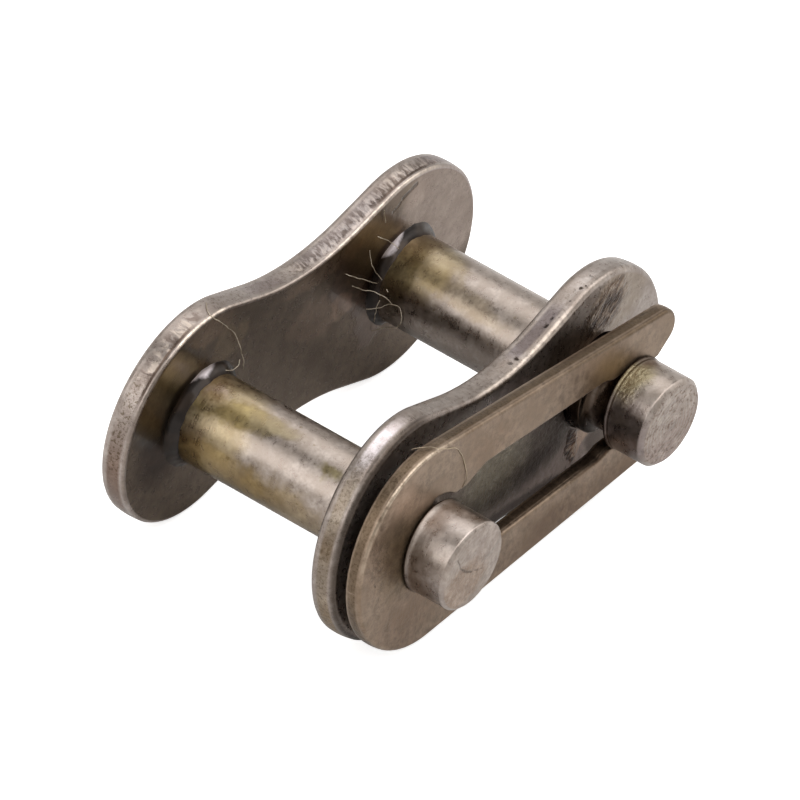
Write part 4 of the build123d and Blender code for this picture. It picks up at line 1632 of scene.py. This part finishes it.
@dataclass
class Clip:
    """The spring clip."""

    sizes: LinkSizes
    groups: ShaderGroups
    thickness: float = 0.7
    lip: float = 0.18
    back_round: float = 0.11
    crown: float = 0.015
    end_setback: float = 0.4
    end_overhang: float = 0.27
    tip_radius: float = 0.82
    tip_half_height: float = 3.22
    relief_radius: float = 1.98
    relief_offset: float = 0.1
    slot_half_wide: float = 2.0
    slot_half_narrow: float = 1.76
    slot_reach: float = 3.25
    slot_slope: float = 1.2
    seat_radius: float = 1.56
    seat_depth: float = 1.3
    seat_step: float = 0.6
    throat_half_height: float = 1.2
    throat_reach: float = 1.65
    corner_rounding: float = 0.06
    spacing: float = 0.05

    def outline(self) -> Outline:
        """Outline of the clip: closed round the left pin, open past the right one."""
        s = self.sizes
        closed, end_radius = complex(s.left_x - self.end_overhang,
                                     0), s.lobe_radius - self.end_setback
        tip = complex(s.clip_right - self.tip_radius, self.tip_half_height - self.tip_radius)
        back = tangent_direction(closed, tip, end_radius - self.tip_radius, 1)
        mouth = complex(s.right_x + self.throat_reach, self.throat_half_height)
        lead_in = tangent_direction(tip, mouth, self.tip_radius, 1)
        throat = math.asin(self.throat_half_height / self.seat_radius)
        seat = complex(s.right_x - self.seat_depth, self.seat_radius)
        relief = complex(s.left_x + self.relief_offset, 0)
        slot = complex(s.left_x + self.slot_reach, self.slot_half_wide)
        neck = complex(slot.real - self.slot_slope, self.seat_radius)
        slot_end = complex(seat.real - self.seat_step, self.slot_half_narrow)
        relief_start = math.asin(self.seat_radius / self.relief_radius)
        relief_end = math.acos((s.left_x - relief.real) / self.relief_radius)
        upper = arc(closed, end_radius, math.pi, back)
        upper += arc(tip, self.tip_radius, back,
                     lead_in - 2 * math.pi if lead_in > back else lead_in)
        upper += [mouth]
        upper += arc(complex(s.right_x, 0), self.seat_radius, throat, math.pi / 2)
        upper += [seat, slot_end, slot, neck]
        upper += arc(relief, self.relief_radius, relief_start, relief_end)
        upper += arc(complex(s.left_x, 0), self.seat_radius, math.pi / 2, math.pi)
        whole = upper + [p.conjugate() for p in upper[-2:0:-1]]
        middle = complex(0, s.axis_z)
        return Outline.through([p + middle for p in whole], self.spacing, self.corner_rounding)

    def build(self) -> None:
        """Builds and dresses the clip."""
        s = self.sizes
        face = s.clip_middle - self.thickness / 2
        front = face - 0.02
        dark_wall = (0.45, 0.42, 0.36)
        finish = BlankedSteel(
            "clip_steel", light=tone(158, 139, 121), dark=tone(116, 100, 85),
            mottle=tone(128, 109, 91),
            roughness=0.36, metallic=0.92, fine=11.0, broad=0.6, grain_height=0.012,
            hairline_turn=5.0, hairlines=0.3,
            lip_colour=tone(206, 188, 168), speckle=(Span(0.0, 85.0, 0.5, 0.01),),
            bright_lip=(Span(76.3, 80.8, 0.85, 1.2), Span(80.8, 83.5, 0.35), Span(24.5, 36.5, 0.12),
                        Span(69.0, 76.3, 0.15)),
            shades=(Shade(Span(62.5, 76.5, 1.0, 0.3), dark_wall),
                    Shade(Span(76.5, 84.4, 0.7, 0.1), dark_wall),
                    Shade(Span(0.1, 4.0, 0.7, 0.1), dark_wall),
                    # painted shade on the lower leg's inner wall, down in the slot
                    Shade(Span(24.0, 38.0), (0.4, 0.38, 0.36)),
                    Shade(Span(60.5, 69.0, 1.0, 1.5), (0.62, 0.6, 0.56), Zone.LIP),
                    Shade(Span(69.0, 76.0, 1.0, 1.5), (0.82, 0.8, 0.78), Zone.LIP),
                    Shade(Span(24.5, 37.0), (0.8, 0.78, 0.76), Zone.LIP)),
            layers=(
                # painted shade beside the left pin, on a rougher patch
                Layer(Patch(-8.3, 5.3, 1.3, 1.7, ragged=0.2, soft=0.6), (0.7, 0.68, 0.58),
                      roughness=0.45),
                Layer(Patch(4.6, 6.9, 1.6, 0.8, ragged=0.4, soft=0.6), (1.0, 0.96, 0.84), 0.8),
                Layer(Patch(2.6, 1.5, 6.4, 0.95, turn=2, soft=0.5), (0.81, 0.77, 0.74)),
                # painted highlight widening the lip's highlight onto the face
                Layer(Patch(-8.4, 7.95, 1.4, 0.5, turn=38, ragged=0.2, soft=0.6),
                      (1.3, 1.32, 1.36)),
                Layer(Patch(-9.8, 5.4, 0.8, 2.0, turn=20, ragged=0.4, soft=0.8), (0.95, 0.92, 0.9),
                      relief=0.03),
                Layer(Patch(-7.7, 2.2, 2.2, 1.2, turn=20, ragged=0.4, soft=0.7), (0.86, 0.82, 0.8),
                      relief=0.02),
                Layer(Patch(-2.8, 7.6, 1.6, 0.8, turn=-5, ragged=0.4, soft=0.7),
                      (0.92, 0.88, 0.84)),
                Layer(Patch(1.8, 1.8, 1.6, 0.6, ragged=0.4, soft=0.7), (0.88, 0.84, 0.8)),
                Layer(Patch(6.6, 2.1, 1.6, 0.6, ragged=0.4, soft=0.7), (0.84, 0.8, 0.76)),
            ),
            nicks=(Nick((-10.15, front, 5.6), (-9.95, front, 4.7), 0.05, 0.03, 0.6),
                   Nick((-9.7, front, 4.1), (-9.45, front, 2.9), 0.05, 0.02, 0.65)))
        edge = EdgeShape(self.thickness, self.lip, self.back_round, crown=self.crown)
        mesh = blanked_mesh("spring_clip_detail", self.outline(), [], edge, edge, face)
        s.leaned(mesh, s.clip_middle, CLIP_LEAN)
        add_piece("spring_clip_detail", mesh, "clip", "spring_clip",
                  finish.material(self.groups))


@dataclass
class Lint:
    """Pale fibres that cling to the oily faces, as runs of places in millimetres."""

    groups: ShaderGroups
    trees: MeshTrees
    on_link: tuple[tuple[Place, ...], ...] = (
        ((-5.95, 6.55, 9.53), (-6.35, 6.15, 9.52), (-6.3, 5.8, 9.35), (-5.47, 5.78, 8.57),
         (-4.68, 5.76, 7.62), (-4.34, 5.7, 6.76), (-4.13, 5.68, 6.25), (-3.97, 5.74, 5.68)),
        ((-4.4, 5.7, 6.4), (-4.57, 5.6, 6.25), (-5.02, 5.5, 6.35), (-5.42, 5.6, 6.46)),
        ((4.46, 5.8, 8.87), (4.64, 5.78, 8.19)),
        ((3.78, 5.75, 7.34), (3.89, 5.7, 6.73), (4.18, 5.6, 6.14), (4.7, 5.5, 5.43),
         (4.46, 5.1, 5.29)),
        ((4.22, 5.78, 7.74), (4.8, 5.6, 7.33), (5.38, 5.5, 6.7)),
        ((2.94, 5.8, 6.01), (3.6, 5.7, 5.52), (4.16, 5.5, 5.23), (4.3, 5.1, 5.13), (4.4, 4.8, 4.9)),
        ((4.15, 5.8, 4.23), (4.36, 5.3, 4.45), (4.25, 4.8, 4.98), (4.36, 4.4, 4.93),
         (4.4, 4.25, 4.4), (4.6, 4.6, 3.75), (5.2, 5.45, 2.95), (4.8, 5.8, 2.81)),
        ((4.28, 5.3, 4.88), (4.4, 5.5, 4.18), (4.85, 5.8, 3.22)),
        ((2.4, 5.8, 6.85), (3.5, 5.75, 6.07), (4.38, 5.6, 5.46)),
    )
    on_clip: tuple[tuple[Place, ...], ...] = (
        ((-7.13, -4.42, 9.16), (-6.87, -4.51, 9.16), (-6.49, -4.79, 9.17), (-6.3, -5.05, 9.12),
         (-5.95, -5.14, 8.98),
         (-5.31, -5.16, 8.69), (-4.82, -5.21, 8.11), (-4.5, -5.27, 7.34), (-4.45, -5.32, 6.76),
         (-4.62, -5.33, 6.5)),
    )
    radius: float = 0.016

    def build(self) -> None:
        """Makes the fibres, one piece for each body."""
        pale = LintFinish("lint_fibre", tone(212, 199, 179), tone(146, 132, 112))
        dull = LintFinish("dull_lint_fibre", tone(186, 168, 142), tone(130, 115, 95))
        for name, body, routes, finish in (("rear_lint", "link", self.on_link, pale),
                                           ("clip_lint", "clip", self.on_clip, dull)):
            lines = [[tuple(c * MM for c in place) for place in route] for route in routes]
            mesh = MeshTrees.run(name, lines, self.trees.fibre, Radius=self.radius * MM,
                                 Finish=finish.material(self.groups))
            add_piece(name, mesh, body)


# Studio

@dataclass(frozen=True)
class SoftBox:
    """Square lamp that faces the link: where it is seen from the link, how large and how bright."""

    name: str
    azimuth: float
    elevation: float
    distance: float
    width: float
    height: float
    radiance: float

    def build(self, target: Vector) -> None:
        """Adds the lamp."""
        away = direction(self.azimuth, self.elevation)
        lamp = bpy.data.lights.new(self.name, "AREA")
        lamp.shape = "RECTANGLE"
        lamp.size, lamp.size_y = self.width, self.height
        lamp.energy = self.radiance * math.pi * self.width * self.height
        holder = bpy.data.objects.new(self.name, lamp)
        holder.location = target + away * self.distance
        holder.rotation_mode = "QUATERNION"
        holder.rotation_quaternion = away.to_track_quat("Z", "Y")
        bpy.context.scene.collection.objects.link(holder)


@dataclass
class Studio:
    """Pale floor, white surroundings, soft lamps and the camera."""

    floor_size: float = 3.0
    floor_albedo: float = 0.86
    floor_glow: float = 0.74
    zenith: float = 0.4
    horizon: float = 0.75
    lamps: tuple[SoftBox, ...] = (
        SoftBox("left_soft_box", azimuth=-120.0, elevation=31.0, distance=0.45, width=0.42,
                height=0.27, radiance=1.45),
        SoftBox("back_soft_box", azimuth=145.0, elevation=52.0, distance=0.5, width=0.4, height=0.3,
                radiance=1.35),
        SoftBox("right_soft_box", azimuth=62.0, elevation=35.0, distance=0.5, width=0.3, height=0.3,
                radiance=1.0),
        SoftBox("front_soft_box", azimuth=25.0, elevation=68.0, distance=0.5, width=0.45,
                height=0.45, radiance=1.9),
        SoftBox("high_soft_box", azimuth=-85.0, elevation=64.0, distance=0.5, width=0.25,
                height=0.25, radiance=1.3),
    )
    camera_azimuth: float = -57.361
    camera_elevation: float = 37.107
    camera_roll: float = 8.084
    camera_distance: float = 0.61656
    camera_lens: float = 720.85
    camera_target: Place = (-0.314, 0.796, 4.968)

    def build_world(self) -> None:
        """White to the camera; to the steel, bright round the horizon and dim overhead."""
        world = bpy.data.worlds.new("studio")
        bpy.context.scene.world = world
        graph = open_shader(world)
        _, _, up = graph.separate(graph.node("ShaderNodeTexCoord").outputs["Generated"])
        level = graph.steps(up, 0.2, 0.8, self.horizon, self.zenith)
        around = graph.node("ShaderNodeBackground",
                            {"Color": (1.0, 0.985, 0.96, 1.0), "Strength": level})
        white = graph.node("ShaderNodeBackground", {"Color": (1.0, 1.0, 1.0, 1.0), "Strength": 1.0})
        seen = graph.node("ShaderNodeLightPath").outputs["Is Camera Ray"]
        mixed = graph.node("ShaderNodeMixShader",
                           {0: seen, 1: around.outputs[0], 2: white.outputs[0]})
        graph.end(mixed, "ShaderNodeOutputWorld")

    def build_floor(self) -> None:
        """Pale floor that keeps the link's shadow and glows a little to the camera."""
        half = self.floor_size / 2
        level = min(CAD_BOX[0].z, 0.0) - FLOOR_DROP
        mesh = bpy.data.meshes.new("studio_floor")
        mesh.from_pydata([(-half, -half, level), (half, -half, level), (half, half, level),
                          (-half, half, level)],
                         [], [(0, 1, 2, 3)])
        floor = bpy.data.objects.new("studio_floor", mesh)
        bpy.context.scene.collection.objects.link(floor)
        material = bpy.data.materials.new("studio_floor")
        graph = open_shader(material)
        rays = graph.node("ShaderNodeLightPath")
        matt = graph.node("ShaderNodeBsdfDiffuse", {"Color": (self.floor_albedo,) * 3 + (1.0,)})
        glow = graph.times(rays.outputs["Is Camera Ray"], self.floor_glow)
        shine = graph.node("ShaderNodeEmission", {"Color": (1.0, 1.0, 1.0, 1.0), "Strength": glow})
        both = graph.node("ShaderNodeAddShader", {0: matt.outputs[0], 1: shine.outputs[0]})
        graph.end(both)
        mesh.materials.append(material)

    def build_camera(self) -> None:
        """Camera at the photograph's angle, rolled as the photograph is."""
        roll = math.radians(self.camera_roll)
        back = direction(self.camera_azimuth, self.camera_elevation)
        level = (-back).cross(Vector((0, 0, 1))).normalized()
        above = level.cross(-back)
        right = math.cos(roll) * level + math.sin(roll) * above
        up = math.cos(roll) * above - math.sin(roll) * level
        camera = bpy.data.cameras.new("camera")
        camera.lens = self.camera_lens
        camera.clip_start, camera.clip_end = 0.01, 10.0
        holder = bpy.data.objects.new("camera", camera)
        place = Vector(self.camera_target) * MM + back * self.camera_distance
        holder.matrix_world = Matrix((
            (right.x, up.x, back.x, place.x),
            (right.y, up.y, back.y, place.y),
            (right.z, up.z, back.z, place.z),
            (0.0, 0.0, 0.0, 1.0)))
        bpy.context.scene.collection.objects.link(holder)
        bpy.context.scene.camera = holder

    def build(self) -> None:
        """Builds the floor, world, lamps and camera."""
        self.build_world()
        self.build_floor()
        target = (CAD_BOX[0] + CAD_BOX[1]) / 2
        for lamp in self.lamps:
            lamp.build(target)
        self.build_camera()
        bpy.context.scene.view_settings.view_transform = "Standard"


def main() -> None:
    """Builds the link in order, then the studio."""
    logging.basicConfig(level=logging.INFO, format="%(name)s: %(message)s")
    sizes = LinkSizes.from_frame()
    groups, trees = ShaderGroups.build(), MeshTrees()
    plates = Plates(sizes, groups)
    plates.build_rear()
    plates.build_cover()
    Pins(sizes, groups, trees).build()
    Clip(sizes, groups).build()
    Lint(groups, trees).build()
    Studio().build()


if __name__ == "__main__":
    main()
